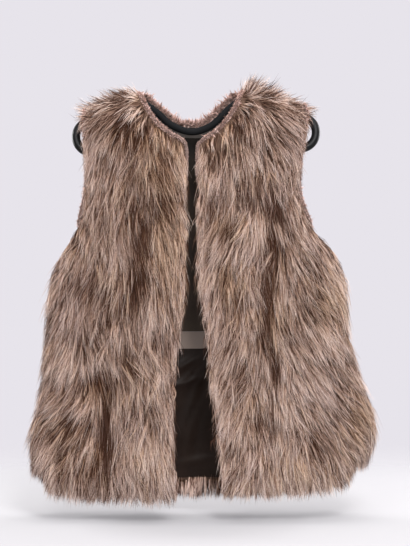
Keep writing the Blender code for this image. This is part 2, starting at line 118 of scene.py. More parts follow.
# Where strips of the back's inside begin and end, as shares of its height
SKIN_HEM = 0.020
LINING_HEM = 0.042
TAPE_BOTTOM = 0.392
TAPE_TOP = 0.438
FACING_BOTTOM = 0.972
FACING_TOP = 0.997
STRIP_GAP = 0.0006

# Where the turned edges begin: a height on the front edges, and a share of the side past the underarm
FRONT_ROLL_FROM = -0.105
ARMHOLE_ROLL_FROM = 0.075

# Grid steps: across and up, round a roll and along a fine line, and how rows crowd towards the shoulder
HAIR_BED_STEPS = {"front": (64, 128), "back": (112, 128)}
PELT_STEPS = {"front": (40, 84), "back": (72, 84)}
LINING_STEPS = (96, 150)
ROLL_SIDES = 14
FINE_STEPS = 600
UP_CROWDING = 1.5

# Edges that turn by more degrees than this stay sharp
SHARP_ANGLE = 60

# The hanger: radii, points round and along, and the direction from front to back
RING_RADIUS = 0.0262
RING_TUBE_RADIUS = 0.0070
BAR_RADIUS = 0.0058
BAR_SIDES = 24
BAR_STEPS = 160
RING_STEPS = 96
DEEP = np.array([0.0, 1.0, 0.0])
RingPlace = namedtuple("RingPlace", "x z")
RINGS = {"left": RingPlace(-0.1667, -0.008), "right": RingPlace(0.1766, -0.001)}
BarPoint = namedtuple("BarPoint", "x z")
BAR_LINE = table(
    BarPoint,
    (-0.1667, 0.0175),
    (-0.140, 0.0290),
    (-0.104, 0.0440),
    (-0.084, 0.0470),
    (-0.062, 0.0340),
    (-0.036, 0.0115),
    (0.0, 0.0),
    (0.034, 0.0130),
    (0.056, 0.0350),
    (0.078, 0.0500),
    (0.100, 0.0480),
    (0.140, 0.0365),
    (0.1766, 0.0245),
)

# Cut lines of the panels in the front view. Each table runs upwards or outwards.
Outline = namedtuple("Outline", "left_x left_z right_x right_z")
NECK_POINT = Outline(-0.0884, 0.0610, 0.0815, 0.0650)
SHOULDER_TIP = Outline(-0.1715, 0.0267, 0.1794, 0.0340)
UNDERARM = Outline(-0.205, -0.199, 0.223, -0.199)
HEM_SIDE = Outline(-0.249, -0.551, 0.270, -0.538)
HEM_FRONT = Outline(-0.030, -0.597, 0.053, -0.588)
NECK_CORNER = Outline(-0.0139, -0.0290, 0.0112, -0.0300)
SIDE_SEAM = table(
    Outline,
    HEM_SIDE,
    (-0.2465, -0.510, 0.2765, -0.485),
    (-0.232, -0.460, 0.261, -0.430),
    (-0.2235, -0.380, 0.239, -0.365),
    (-0.218, -0.290, 0.2295, -0.300),
    (-0.212, -0.235, 0.230, -0.238),
    UNDERARM,
)
ARMHOLE = table(
    Outline,
    UNDERARM,
    (-0.190, -0.172, 0.199, -0.170),
    (-0.171, -0.116, 0.171, -0.116),
    (-0.1660, -0.065, 0.1665, -0.070),
    (-0.1670, -0.015, 0.173, -0.015),
    SHOULDER_TIP,
)
FRONT_EDGE = table(
    Outline,
    HEM_FRONT,
    (-0.033, -0.500, 0.048, -0.500),
    (-0.032, -0.400, 0.039, -0.410),
    (-0.026, -0.330, 0.027, -0.330),
    (-0.0165, -0.265, 0.018, -0.265),
    (-0.0130, -0.200, 0.0122, -0.200),
    (-0.0133, -0.110, 0.0106, -0.110),
    (-0.0133, -0.055, 0.0106, -0.055),
    NECK_CORNER,
)
FRONT_NECK = table(
    Outline,
    NECK_CORNER,
    (-0.0150, -0.0238, 0.0124, -0.0248),
    (-0.0190, -0.0205, 0.0165, -0.0207),
    (-0.0350, -0.0115, 0.0265, -0.0140),
    (-0.0490, -0.0012, 0.0425, -0.0030),
    (-0.0645, 0.0145, 0.0595, 0.0160),
    (-0.0785, 0.0355, 0.0715, 0.0350),
    NECK_POINT,
)
FRONT_HEM = table(
    Outline,
    HEM_FRONT,
    (-0.090, -0.597, 0.110, -0.588),
    (-0.160, -0.596, 0.170, -0.586),
    (-0.210, -0.591, 0.222, -0.579),
    (-0.240, -0.577, 0.257, -0.563),
    HEM_SIDE,
)
BACK_HEM = table(
    Outline,
    (0.0, -0.603, 0.0, -0.603),
    (-0.110, -0.604, 0.120, -0.600),
    (-0.198, -0.599, 0.210, -0.589),
    (-0.240, -0.582, 0.256, -0.568),
    HEM_SIDE,
)
BACK_NECK = table(
    Outline,
    (-0.005, 0.0115, -0.005, 0.0115),
    (-0.0290, 0.0145, 0.0180, 0.0130),
    (-0.0460, 0.0270, 0.0340, 0.0245),
    (-0.0650, 0.0415, 0.0560, 0.0435),
    NECK_POINT,
)

# Soft vertical folds. Depth is how far the cloth falls back towards the inside; a ridge is negative.
Fold = namedtuple("Fold", "x_top x_hem top depth width")
FRONT_FOLDS = table(
    Fold,
    (-0.118, -0.138, -0.33, 0.011, 0.030),
    (-0.060, -0.082, -0.20, -0.006, 0.034),
    (-0.170, -0.200, -0.36, -0.007, 0.032),
    (0.112, 0.132, -0.28, 0.011, 0.028),
    (0.075, 0.085, -0.22, -0.006, 0.032),
    (0.165, 0.196, -0.34, -0.008, 0.034),
)
BACK_FOLDS = table(
    Fold,
    (-0.120, -0.165, -0.26, 0.010, 0.032),
    (-0.040, -0.060, -0.30, 0.009, 0.032),
    (0.045, 0.060, -0.24, 0.010, 0.034),
    (0.125, 0.170, -0.30, 0.011, 0.032),
)
FOLD_GROWTH = 0.16

# Partings between locks and pelts: troughs in the pile, as deep as a share of it, that fade at both ends
Parting = namedtuple("Parting", "x_top z_top x_bottom z_bottom depth width")
PARTING_FADE = 0.25
FRONT_PARTINGS = table(
    Parting,
    (-0.104, -0.015, -0.092, -0.220, 0.32, 0.013),
    (-0.047, -0.085, -0.058, -0.260, 0.30, 0.012),
    (-0.146, -0.190, -0.154, -0.330, 0.24, 0.013),
    (-0.150, -0.360, -0.128, -0.450, 0.36, 0.016),
    (-0.085, -0.330, -0.100, -0.540, 0.26, 0.014),
    (0.125, -0.090, 0.128, -0.300, 0.32, 0.013),
    (0.062, -0.030, 0.070, -0.190, 0.24, 0.012),
    (0.098, -0.330, 0.112, -0.520, 0.34, 0.015),
    (0.180, -0.250, 0.200, -0.350, 0.26, 0.014),
    (0.165, -0.450, 0.220, -0.505, 0.28, 0.014),
)
BACK_PARTINGS = table(
    Parting,
    (-0.135, -0.060, -0.120, -0.270, 0.30, 0.014),
    (-0.060, -0.030, -0.070, -0.260, 0.28, 0.013),
    (0.012, -0.070, 0.004, -0.330, 0.30, 0.013),
    (0.080, -0.040, 0.092, -0.250, 0.28, 0.014),
    (0.145, -0.110, 0.150, -0.300, 0.28, 0.013),
    (-0.100, -0.330, -0.115, -0.540, 0.30, 0.015),
    (0.085, -0.320, 0.100, -0.520, 0.30, 0.015),
)

# The way the hair is combed: degrees from straight down, positive towards +X, at places in the front view
Comb = namedtuple("Comb", "x z angle")
FRONT_COMB = table(
    Comb,
    (-0.100, 0.050, -48), (-0.130, 0.045, -62), (-0.165, 0.030, -62), (-0.085, 0.030, -10),
    (-0.070, 0.000, 8), (-0.045, -0.030, 20), (-0.030, -0.055, 34), (-0.015, -0.080, 32),
    (-0.140, 0.000, -30), (-0.155, -0.050, -12), (-0.150, -0.120, -4), (-0.100, -0.050, 0),
    (-0.100, -0.150, 0), (-0.060, -0.120, 8), (-0.030, -0.140, 16), (-0.020, -0.200, 13),
    (-0.050, -0.220, 8), (-0.030, -0.280, 4), (-0.190, -0.200, -20), (-0.200, -0.300, -12),
    (-0.150, -0.250, -5), (-0.100, -0.300, 2), (-0.210, -0.400, -20), (-0.150, -0.360, 6),
    (-0.160, -0.405, 10), (-0.190, -0.410, -30), (-0.130, -0.420, 12), (-0.235, -0.470, -26),
    (-0.178, -0.452, -44), (-0.200, -0.475, -30), (-0.140, -0.455, 14), (-0.220, -0.530, -22),
    (-0.160, -0.500, -5), (-0.185, -0.510, -14), (-0.120, -0.500, 4), (-0.080, -0.450, 8),
    (-0.060, -0.550, 12), (-0.040, -0.400, 7), (-0.040, -0.520, 10), (-0.160, -0.570, -8),
    (0.098, 0.060, 62), (0.130, 0.050, 66), (0.165, 0.035, 62), (0.120, 0.020, 40), (0.160, 0.000, 45),
    (0.165, -0.030, 36), (0.075, 0.030, 4), (0.060, 0.000, -6), (0.045, -0.030, -16), (0.025, -0.055, -18),
    (0.020, -0.090, -14), (0.050, -0.100, -6), (0.100, -0.050, 8), (0.100, -0.120, 3), (0.150, -0.100, 6),
    (0.030, -0.150, -12), (0.020, -0.220, -20), (0.055, -0.170, -34), (0.070, -0.220, -3),
    (0.120, -0.200, 0), (0.160, -0.170, 10), (0.190, -0.200, 24), (0.210, -0.230, 32), (0.050, -0.280, -8),
    (0.100, -0.300, 0), (0.150, -0.280, 3), (0.200, -0.280, 18), (0.225, -0.330, 24), (0.030, -0.330, -24),
    (0.050, -0.400, -26), (0.045, -0.460, -24), (0.090, -0.420, -5), (0.130, -0.400, 8),
    (0.160, -0.360, 24), (0.200, -0.400, 32), (0.250, -0.430, 48), (0.260, -0.480, 46), (0.230, -0.470, 44),
    (0.200, -0.470, 22), (0.240, -0.530, 30), (0.200, -0.540, 14), (0.150, -0.500, 5), (0.100, -0.520, 0),
    (0.060, -0.550, -9), (0.150, -0.570, 6),
)
BACK_COMB = table(
    Comb,
    (-0.150, 0.030, -55), (0.150, 0.035, 55), (-0.100, 0.020, -30), (0.095, 0.025, 30),
    (-0.150, -0.080, -12), (0.150, -0.080, 12), (0.000, -0.020, 0), (-0.060, -0.060, -6),
    (0.060, -0.060, 8), (0.000, -0.200, 4), (-0.100, -0.200, -6), (0.100, -0.220, 5), (-0.190, -0.220, -20),
    (0.200, -0.220, 22), (-0.150, -0.380, 8), (0.060, -0.360, -12), (0.150, -0.400, 20),
    (-0.060, -0.430, -14), (0.240, -0.450, 42), (-0.230, -0.460, -24), (0.000, -0.540, 6),
    (-0.120, -0.540, -8), (0.120, -0.540, 8),
)
COMB_REACH = 0.026

# How far the ribbons of hair are turned from the skin towards the front or the back, and to either side
FACE_TURN = 0.9
RIBBON_TURN = 0.9

# How the hair stands: its lift where the comb points off the skin and on the shoulders, and its overhangs
OUTWARD_LIFT = 0.08
SHOULDER_LIFT = 0.42
SHOULDER_LIFT_FROM = -0.010
SHOULDER_LIFT_OVER = 0.05
EDGE_RAISE = 0.75
EDGE_OVERHANG = 0.003
CORNER_OVERHANG = 0.001
ARMHOLE_OVERHANG = 0.003
SHOULDER_OVERHANG = 0.024

# How far hair hangs below the hem: the shortest, the most usual and the longest, and more towards the sides
HEM_SHORTEST = -0.015
HEM_USUAL = 0.007
HEM_OVERHANG = 0.019
HEM_SIDE_EXTRA = 0.008
HEM_SIDE_FROM = 0.20
HEM_SIDE_OVER = 0.05
LEAST_LENGTH = 0.15

# Steps along the comb: how soon the lift is full, how turns fade, the fall over a shoulder, the least pace
LIFT_PACE = 1.6
TURN_FADE = 0.4
SHOULDER_ROLL = 0.55
LEAST_PACE = 0.35

# How far hair passes the front edges, by height
Opening = namedtuple("Opening", "height left right")
OPENING_OVERHANG = table(
    Opening,
    (-0.290, 0.0010, 0.0022),
    (-0.262, 0.0060, 0.0030),
    (-0.160, 0.0035, 0.0024),
    (-0.115, 0.0015, 0.0022),
)

# Hair at the sides: how far the skin faces sideways where it starts, its extra lift and how that varies
SIDE_TURN = 0.45
SIDE_FLUFF = 0.32
FLUFF_SPREAD = 0.5

# Loose wisps, found below a height: their share, how many times further they pass an edge, and the most
LOOSE_SHARE = 0.12
LOOSE_REACH = 5.0
LOOSE_MOST = 0.011
LOOSE_BELOW = -0.10

# Hair that stands along the shoulder seams, pointing outwards: depth, spreads, rise in degrees and reach
CROWN_DEPTH = 0.013
CROWN_SPREAD = 9
CROWN_REACHES = (0.55, 1.0)
CROWN_LEAN = 0.30
Crown = namedtuple("Crown", "x rise reach")
CROWN = table(
    Crown,
    (-0.175, 14, 0.034),
    (-0.140, 20, 0.036),
    (-0.110, 24, 0.036),
    (-0.088, 34, 0.026),
    (0.080, 76, 0.042),
    (0.096, 50, 0.042),
    (0.120, 26, 0.038),
    (0.150, 6, 0.034),
    (0.180, -8, 0.030),
)

# Patches of painted shade and painted light on the fur, and of warmer or greyer colour, by the width and
# height of each patch
SHADE_DEPTH = 2.2
Shade = namedtuple("Shade", "x z width height light warmth")
FRONT_SHADES = table(
    Shade,
    (-0.120, 0.010, 0.018, 0.060, -0.26, 0.0), (-0.101, -0.080, 0.012, 0.060, -0.17, 0.0),
    (-0.082, -0.190, 0.012, 0.050, -0.26, 0.0), (-0.090, -0.245, 0.020, 0.024, -0.22, 0.2),
    (-0.158, -0.270, 0.026, 0.035, -0.16, -0.2), (-0.047, -0.068, 0.008, 0.034, -0.26, 0.3),
    (-0.042, -0.130, 0.012, 0.024, -0.26, 0.3), (-0.150, -0.418, 0.022, 0.018, -0.46, 0.1),
    (-0.166, -0.355, 0.016, 0.022, -0.22, 0.0), (-0.138, -0.515, 0.009, 0.056, -0.50, 0.0),
    (-0.207, -0.485, 0.008, 0.042, -0.34, 0.0), (-0.104, -0.395, 0.012, 0.024, -0.22, 0.0),
    (-0.092, -0.284, 0.010, 0.030, -0.22, 0.0), (-0.158, -0.555, 0.020, 0.014, -0.30, 0.0),
    (-0.050, -0.050, 0.040, 0.060, 0.01, 0.6), (-0.040, -0.210, 0.026, 0.070, 0.03, 0.7),
    (-0.085, 0.050, 0.022, 0.022, 0.10, 0.5), (-0.200, -0.300, 0.030, 0.080, 0.05, -0.4),
    (-0.070, -0.350, 0.018, 0.060, 0.10, -0.1), (-0.070, -0.540, 0.040, 0.040, 0.11, 0.0),
    (0.135, -0.145, 0.014, 0.026, -0.34, -0.2), (0.092, -0.120, 0.012, 0.022, -0.20, -0.3),
    (0.126, -0.215, 0.009, 0.060, -0.38, 0.0), (0.048, -0.166, 0.022, 0.014, -0.18, 0.9),
    (0.120, -0.300, 0.012, 0.050, -0.28, 0.2), (0.112, -0.360, 0.014, 0.024, -0.22, 0.2),
    (0.132, -0.400, 0.007, 0.034, -0.36, 0.0), (0.106, -0.483, 0.014, 0.014, -0.40, 0.3),
    (0.196, -0.520, 0.010, 0.030, -0.22, 0.0), (0.236, -0.462, 0.014, 0.014, -0.12, 0.0),
    (0.214, -0.286, 0.014, 0.022, -0.14, 0.3), (0.184, -0.307, 0.006, 0.022, -0.28, 0.0),
    (0.140, -0.030, 0.045, 0.050, 0.07, -0.4), (0.070, -0.270, 0.030, 0.060, 0.09, 0.2),
    (0.200, -0.420, 0.050, 0.050, 0.16, -0.2), (0.280, -0.480, 0.024, 0.040, 0.06, 0.9),
    (0.140, -0.310, 0.014, 0.040, 0.08, 0.5), (0.060, -0.450, 0.030, 0.060, 0.10, 0.0),
    (0.150, -0.570, 0.080, 0.030, 0.19, 0.2), (0.236, -0.270, 0.024, 0.070, 0.16, 0.3),
    (0.150, -0.500, 0.060, 0.050, 0.02, 0.0),
)
BACK_SHADES = table(
    Shade,
    (-0.128, -0.170, 0.014, 0.070, -0.24, 0.0), (0.008, -0.200, 0.012, 0.080, -0.24, 0.0),
    (0.088, -0.150, 0.012, 0.060, -0.22, 0.0), (-0.106, -0.430, 0.014, 0.070, -0.26, 0.0),
    (0.092, -0.430, 0.014, 0.060, -0.26, 0.1), (-0.050, -0.300, 0.040, 0.080, 0.08, 0.4),
    (0.160, -0.350, 0.050, 0.080, 0.06, -0.3), (0.000, -0.500, 0.060, 0.060, 0.06, 0.0),
)

# Share of single hairs that are paler or darker than their lock, and how far they lie above or below it
GUARD_SHARE = 0.14
DARK_SHARE = 0.20
GUARD_LIFT = 0.0014

# Random spreads of hair, shared by tufts, locks and wisps: its turn in degrees, its lift, tone and warmth
Spread = namedtuple("Spread", "tuft lock wisp")
TURN_SPREAD = Spread(9, 8, 7)
LIFT_SPREAD = Spread(0.08, 0.11, 0.14)
TONE_SPREAD = Spread(0.08, 0.21, 0.46)
WARMTH_SPREAD = Spread(0.12, 0.16, 0.10)
HAIR_TONE_SPREAD = 0.18
HAIR_WARMTH_SPREAD = 0.10

# Random shares of the full length, for each lock, wisp and hair, and how far roots are moved along the hair
LOCK_LENGTHS = (0.74, 1.10)
WISP_LENGTHS = (0.86, 1.08)
HAIR_LENGTHS = (0.74, 1.08)
STAGGER = 0.15

# Lift of the hair: less in the troughs between long locks and in the patches of painted shade that it runs
# into
TROUGH_FROM = 0.1
TROUGH_LIFT = -0.32
PATCH_LIFT = 0.35
PATCH_AHEAD = 0.6
LIFT_LIMITS = (-0.50, 0.22)

# At root, middle and tip: rise off the skin, drawing in to the lock, closing on the wisp, frizz and layer
HAIR_PLACES = np.array([0.0, 0.5, 1.0])
HAIR_RISE = np.array([0.22, 0.84, 1.0])
DRAWN_IN = np.array([0.0, 0.16, 0.28])[None, :, None]
CLOSED_IN = np.array([1.0, 0.75, 0.45])[None, :, None]
FRIZZ = np.array([0.0, 0.0009, 0.0022])[None, :, None]
LAYERED = np.array([0.0, 0.8, 1.0])[None, :, None]
PATH_PLACES = np.linspace(0.0, 1.0, 5)

# Unruly hair: the wave of a wisp, its width as a share of the spacing, and frizz, more in stray hairs
WISP_WAVE = 0.0024
WISP_WIDTH = 0.17
FRIZZ_MOST = 1.5
FRIZZ_OUT = 0.2
STRAY_SHARE = 0.07
STRAY_FRIZZ = 4.0

# Paleness, where roots are paler: painted rim light on rounded sides, painted light at the hem, and paler in
# standing and in short hair
PAINTED_RIM_SIDE = 0.5
PAINTED_RIM_SIDE_TURN = 0.55
PAINTED_LIGHT_HEM = 0.4
PAINTED_LIGHT_HEM_FROM = 0.02
PAINTED_LIGHT_HEM_OVER = 0.10
PALE_STOOD = 0.5
PALE_SHORT = 0.25
PALE_RANDOM = 0.12
PALE_MOST = 0.7

# Tone of plain hair, and what lift, troughs, crests and standing add to it: painted shade on low hair and in
# troughs, painted light on lifted hair and crests
PLAIN_TONE = 0.31
LIFT_PAINTED_SHADE = 0.7
TROUGH_PAINTED_SHADE = -0.46
CREST_PAINTED_LIGHT = 0.10
STOOD_TONE = 0.14
TONE_LIMITS = (0.03, 0.97)

# Tone of pale and dark single hairs, and how far they follow the plain tone around them and the patches'
# painted shade and light
Single = namedtuple("Single", "tone plain shade")
PALE_SINGLE = Single(0.62, 0.4, 0.85)
DARK_SINGLE = Single(0.06, 0.3, 0.4)
SINGLE_MIDDLE = 0.40

# Where the patches' painted shade and light are read along a hair, the warmth that makes it golden or grey,
# its tones' map and its taper
SEEN_MIDDLE = 0.4
SEEN_TIP = 0.6
WARM_FROM = 0.30
FAMILIES = 3
RIBBON_TAPER = 0.8
MAP_WIDTH = 0.0022

# Long locks along the combed lines: how wide they are, their share of the relief and how much they wander
Ridge = namedtuple("Ridge", "width share wander")
RIDGES = (Ridge(0.0100, 0.42, 0.9), Ridge(0.0165, 0.52, 1.2), Ridge(0.0300, 0.42, 1.5))
RIDGE_LENGTH = 0.15
FLOW_STEPS = 8
FLOW_STEP = 0.014

# Sheared edges: the roll's radius, how long its ends thin out, and its hairs with their length, fuzz and lean
Edge = namedtuple("Edge", "radius end hairs length_share fuzz lean trim")
NECK_EDGE = Edge(FRONT_ROLL_RADIUS, 0.045, 9000, 0.95, 0.02, -0.10, -0.026)
ARMHOLE_EDGE = Edge(ARMHOLE_ROLL_RADIUS, 0.030, 6000, 1.2, 0.03, -0.20, -1.0)
BACK_NECK_EDGE = Edge(BACK_ROLL_RADIUS, 0.012, 12000, 1.5, 0.12, 0.55, -1.0)
ROLL_END = 0.08

# Sheared hair: hairs to a clump, how they lean, twist and close up, their width, lengths and depth of root
STUBBLE_CLUMP = 11
STUBBLE_LEAN = 0.45
STUBBLE_TWIST = 0.3
STUBBLE_CLOSED = 0.65
STUBBLE_WIDTH = 0.0006
STUBBLE_LENGTHS = (0.55, 1.25)
STUBBLE_ROOT = 0.0004
FUZZ_LENGTH = 3.0
TRIMMED_SHARE = 0.25
TRIM_OVER = 0.02

# Tones of sheared hair: the middle one, spreads by clump and by hair, the share of grey ones, the paleness
STUBBLE_TONE = 0.44
STUBBLE_CLUMP_SPREAD = 0.17
STUBBLE_HAIR_SPREAD = 0.11
STUBBLE_GREY_SHARE = 0.3
STUBBLE_PALENESS = 0.45

# Hair inside the back's hem: shares of pile, length and width, and of the heights that it grows between
INNER_HEM_PILE = 0.07
INNER_HEM_LENGTH = 0.50
INNER_HEM_WIDTH = 1.3
INNER_HEM_FROM = 0.6
INNER_HEM_TO = 0.94
INNER_HEM_HAIRS = 15000

# The under-wool's share of the pile, its hem, the back's share of a front's hairs, and the pieces' seeds
WOOL_SHARE = 0.40
PELT_HEM = 0.9
BACK_HAIR_SHARE = 0.85
FRONT_SEEDS = {"left": 11, "right": 12}
BACK_SEEDS = {"left": 21, "right": 22}
INNER_HEM_SEED = 23
EDGE_SEED = 31

# Creases of the lining: a soft ridge at a place, along a slope, with its half length, half width and height
Crease = namedtuple("Crease", "x z slope length width height")
LOWER_CREASES = table(
    Crease,
    (-0.012, -0.386, 34, 0.026, 0.0045, 0.0050),
    (0.004, -0.402, 52, 0.030, 0.0055, 0.0048),
    (-0.018, -0.418, 18, 0.024, 0.0050, 0.0036),
    (0.016, -0.440, 70, 0.050, 0.0090, 0.0050),
    (-0.010, -0.510, 80, 0.050, 0.0110, 0.0050),
    (0.008, -0.548, 10, 0.040, 0.0070, 0.0022),
    (-0.120, -0.440, 60, 0.060, 0.0120, 0.0035),
    (0.120, -0.470, 105, 0.060, 0.0120, 0.0035),
)
UPPER_CREASES = table(
    Crease,
    (0.000, -0.210, 86, 0.080, 0.0100, 0.0022),
    (-0.012, -0.300, 74, 0.040, 0.0070, 0.0022),
    (-0.090, -0.160, 70, 0.070, 0.0120, 0.0030),
    (0.090, -0.180, 108, 0.070, 0.0120, 0.0030),
)

# Strips of the back's inside, from the hem up, with their rows of points
Strip = namedtuple("Strip", "node low high thickness creases finish rows")
STRIPS = table(
    Strip,
    (
        "back_lining_lower", LINING_HEM, TAPE_BOTTOM - STRIP_GAP, LINING_THICKNESS, LOWER_CREASES,
        "satin_lining", 90,
    ),
    ("waist_tape", TAPE_BOTTOM, TAPE_TOP, TAPE_THICKNESS, (), "ribbon", 12),
    (
        "back_lining_upper", TAPE_TOP + STRIP_GAP, FACING_BOTTOM - STRIP_GAP, LINING_THICKNESS, UPPER_CREASES,
        "upper_lining", 90,
    ),
    ("neck_facing", FACING_BOTTOM, FACING_TOP, LINING_THICKNESS, (), "neck_facing", 8),
)

# Colours along a hair: where the root's and the middle's end, and the light and contrast of its tones
ROOT_TO_MIDDLE = (0.14, 0.60)
MIDDLE_TO_TIP = (0.50, 0.95)
TONE_LIGHT = (0.04, 1.95)
TONE_POWERS = (0.82, 1.0, 1.10)

# Finishes of the cloths: colour of the shaded threads as a share, scales, sheen, gloss, bump and the share
# left by the neck's painted shade
Weave = namedtuple("Weave", "shade threads blotch sheen gloss bump neck")
NECK_PAINTED_SHADE = 0.16
WEAVES = {
    "upper": Weave(0.30, 1300.0, 16.0, 0.0, 0.10, 0.25, NECK_PAINTED_SHADE),
    # On the satin the paler blotches are painted reflections
    "satin": Weave(0.25, 1700.0, 34.0, 0.0, 0.11, 0.12, 1.0),
    "ribbon": Weave(0.85, 1500.0, 40.0, 0.10, 0.50, 0.20, 1.0),
    "facing": Weave(0.55, 1300.0, 30.0, 0.05, 0.30, 0.25, 1.0),
    "inside": Weave(0.6, 900.0, 22.0, 0.0, 0.2, 0.0, 1.0),
}
BLOTCH_SHARE = 0.85
BLOTCH_DETAIL = 4.0
THREAD_SHARE = 0.25
THREAD_HEIGHT = 0.0003
SHEEN_ROUGHNESS = 0.4
NOISE_RANGE = (0.3, 0.7)
CLOTH_ROUGHNESS = (0.30, 0.52)

# Heights between which painted shade darkens the upper lining towards the neck
NECK_PAINTED_SHADE_FROM = -0.16
NECK_PAINTED_SHADE_TO = -0.03

# Finishes of hair and under-wool: roughness, gloss, and the wool's streaks, their height and its satin side
HAIR_ROUGHNESS = 0.50
HAIR_GLOSS = 0.06
WOOL_STREAKS = (420.0, 420.0, 46.0)
WOOL_DETAIL = 5.0
WOOL_BUMP = 0.6
WOOL_HEIGHT = 0.002
WOOL_ROUGHNESS = 0.95
INSIDE_ROUGHNESS = 0.42

# Finishes of the hanger: its smoothest and dullest roughness and its gloss
Plastic = namedtuple("Plastic", "smooth dull gloss")
RING_FINISH = Plastic(0.36, 0.50, 0.26)
BAR_FINISH = Plastic(0.70, 0.85, 0.08)
FLOW_SCALE = 60.0
FLOW_DETAIL = 3.0
FLOW_SHADES = (0.7, 1.3)

# Shares of the settings' colours: the inner hem's hair, brightened as painted light, sheared hair,
# under-wool, sheared skin and bar
HEM_PAINTED_LIGHT_MIDDLE = 1.3
HEM_PAINTED_LIGHT_TIP = 1.2
SHEARED_MIDDLE = 0.62
WOOL_PALE = 0.5
SKIN_DARK = 0.12
SKIN_PALE = 0.32
BAR_SHADE = 0.9

# The floor: its size, its two tones, its painted glow that lightens the shadow on it, and where and how far
# it fades out
FLOOR_RADIUS = 1.6
FLOOR_SIDES = 96
FLOOR_TONES = ((0.46, 0.45, 0.465), (0.49, 0.48, 0.495))
FLOOR_CLOUDS = 2.0
FLOOR_PAINTED_GLOW = (0.105, 0.103, 0.108)
FLOOR_FADE = (0.30, 1.20)
FLOOR_ALPHA = 0.85
FLOOR_ROUGHNESS = 0.8
FLOOR_GLOSS = 0.1

# Area lights: their place, size and power setting, all facing one point, and the tint of the light all round
Light = namedtuple("Light", "name place size power")
LIGHTS = table(
    Light,
    ("key", (0.56, -2.36, 1.25), 0.8, "key"),
    ("fill", (-0.60, -2.5, 0.85), 0.8, "fill"),
    ("front", (0.10, -2.6, 0.05), 0.5, "front"),
    ("rim_left", (-1.7, 1.0, 0.15), 1.0, "rim"),
    ("rim_right", (1.7, 1.0, 0.15), 1.0, "rim"),
    ("top", (0.15, -0.25, 1.60), 2.0, "top"),
)
LIGHT_AIM = np.array([0.0, 0.0, -0.25])
AMBIENT_TINT = (1.0, 0.985, 0.98)

# The camera's sensor in millimetres, and two plain colours
SENSOR_WIDTH = 36.0
WHITE = (1.0, 1.0, 1.0)
BLACK = (0.0, 0.0, 0.0)


def colour_prop(name, description, default):
    """A colour that a user may change."""
    return bpy.props.FloatVectorProperty(
        name=name, description=description, default=default, subtype="COLOR", size=3, min=0, max=1
    )


def length_prop(name, description, default):
    """A length that a user may change."""
    return bpy.props.FloatProperty(name=name, description=description, default=default, unit="LENGTH")


def power_prop(name, description, default):
    """The power of a light, which a user may change."""
    return bpy.props.FloatProperty(name=name, description=description, default=default, min=0, unit="POWER")


class FurSettings(bpy.types.PropertyGroup):
    """Sizes and colours of the fur."""

    hair_length: length_prop("Hair length", "Length of a full-grown hair", 0.072)
    hair_width: length_prop("Hair width", "Width of one ribbon of hair at its root", 0.00076)
    hairs: bpy.props.IntProperty(
        name="Hairs", description="Number of hairs on each front", default=64000, min=100
    )
    tuft_spacing: length_prop("Tuft spacing", "Distance between neighbouring tufts", 0.028)
    lock_spacing: length_prop("Lock spacing", "Distance between neighbouring locks", 0.0085)
    wisp_spacing: length_prop("Wisp spacing", "Distance between neighbouring wisps", 0.0028)
    root: colour_prop("Root", "Colour of the hair near the skin", (0.034, 0.016, 0.010))
    middle: colour_prop("Middle", "Colour of the middle of the hair", (0.33, 0.198, 0.142))
    tip: colour_prop("Tip", "Colour of the ends of the hair", (0.50, 0.365, 0.312))
    warm: colour_prop("Warm tint", "Tint of the golden hairs", (1.0, 0.95, 0.84))
    cool: colour_prop("Cool tint", "Tint of the greyer hairs", (0.93, 0.93, 0.97))
    stubble_length: length_prop("Stubble length", "Length of the sheared hair on the edges", 0.0034)
    stubble: colour_prop("Sheared hair", "Colour of the ends of the sheared hair", (0.78, 0.53, 0.46))


class LiningSettings(bpy.types.PropertyGroup):
    """Colours of what shows inside the vest."""

    upper: colour_prop("Upper lining", "Colour of the upper lining", (0.087, 0.063, 0.049))
    satin: colour_prop("Lower lining", "Colour of the satin lining", (0.023, 0.0130, 0.0092))
    ribbon: colour_prop("Ribbon", "Colour of the ribbon across the back", (0.27, 0.200, 0.166))
    facing: colour_prop("Facing", "Colour of the neck facing", (0.058, 0.048, 0.043))


class HangerSettings(bpy.types.PropertyGroup):
    """Finish of the hanger."""

    plastic: colour_prop("Plastic", "Colour of the hanger", (0.010, 0.010, 0.011))


class StageSettings(bpy.types.PropertyGroup):
    """Light, floor and camera."""

    backdrop: colour_prop("Backdrop", "Colour behind the vest", (0.80, 0.775, 0.83))
    ambient: bpy.props.FloatProperty(
        name="Ambient", description="Strength of the light from all round", default=0.13, min=0
    )
    key: power_prop("Key", "Power of the main light", 70.0)
    fill: power_prop("Fill", "Power of the light on the other side", 21.0)
    front: power_prop("Front", "Power of the small light beside the camera", 11.0)
    rim: power_prop("Rim", "Power of each light behind the vest", 40.0)
    top: power_prop("Top", "Power of the light overhead", 40.0)
    floor_height: length_prop("Floor height", "Height of the floor under the vest", -0.636)
    camera_distance: length_prop("Camera distance", "From the camera to the seams", 2.4)
    camera_x: length_prop("Camera place", "The camera's place from side to side", 0.0198)
    camera_z: length_prop("Camera height", "The camera's height", -0.2327)
    view_height: length_prop("View height", "Height of the picture at the seams", 0.9009)


def smooth_step(value):
    """0 below 0, 1 above 1, and an even S-curve between."""
    value = np.clip(value, 0.0, 1.0)
    return value * value * (3.0 - 2.0 * value)


def unit(vectors):
    """Each vector divided by its length."""
    return vectors / np.maximum(np.linalg.norm(vectors, axis=-1, keepdims=True), 1e-12)


def dot(a, b):
    """The scalar product along the last axis, which is kept."""
    return (a * b).sum(axis=-1, keepdims=True)


def on_side(rows, side):
    """The (x, z) points of one side of an outline table."""
    pick = slice(0, 2) if side == "left" else slice(2, 4)
    return np.array([row[pick] for row in rows])


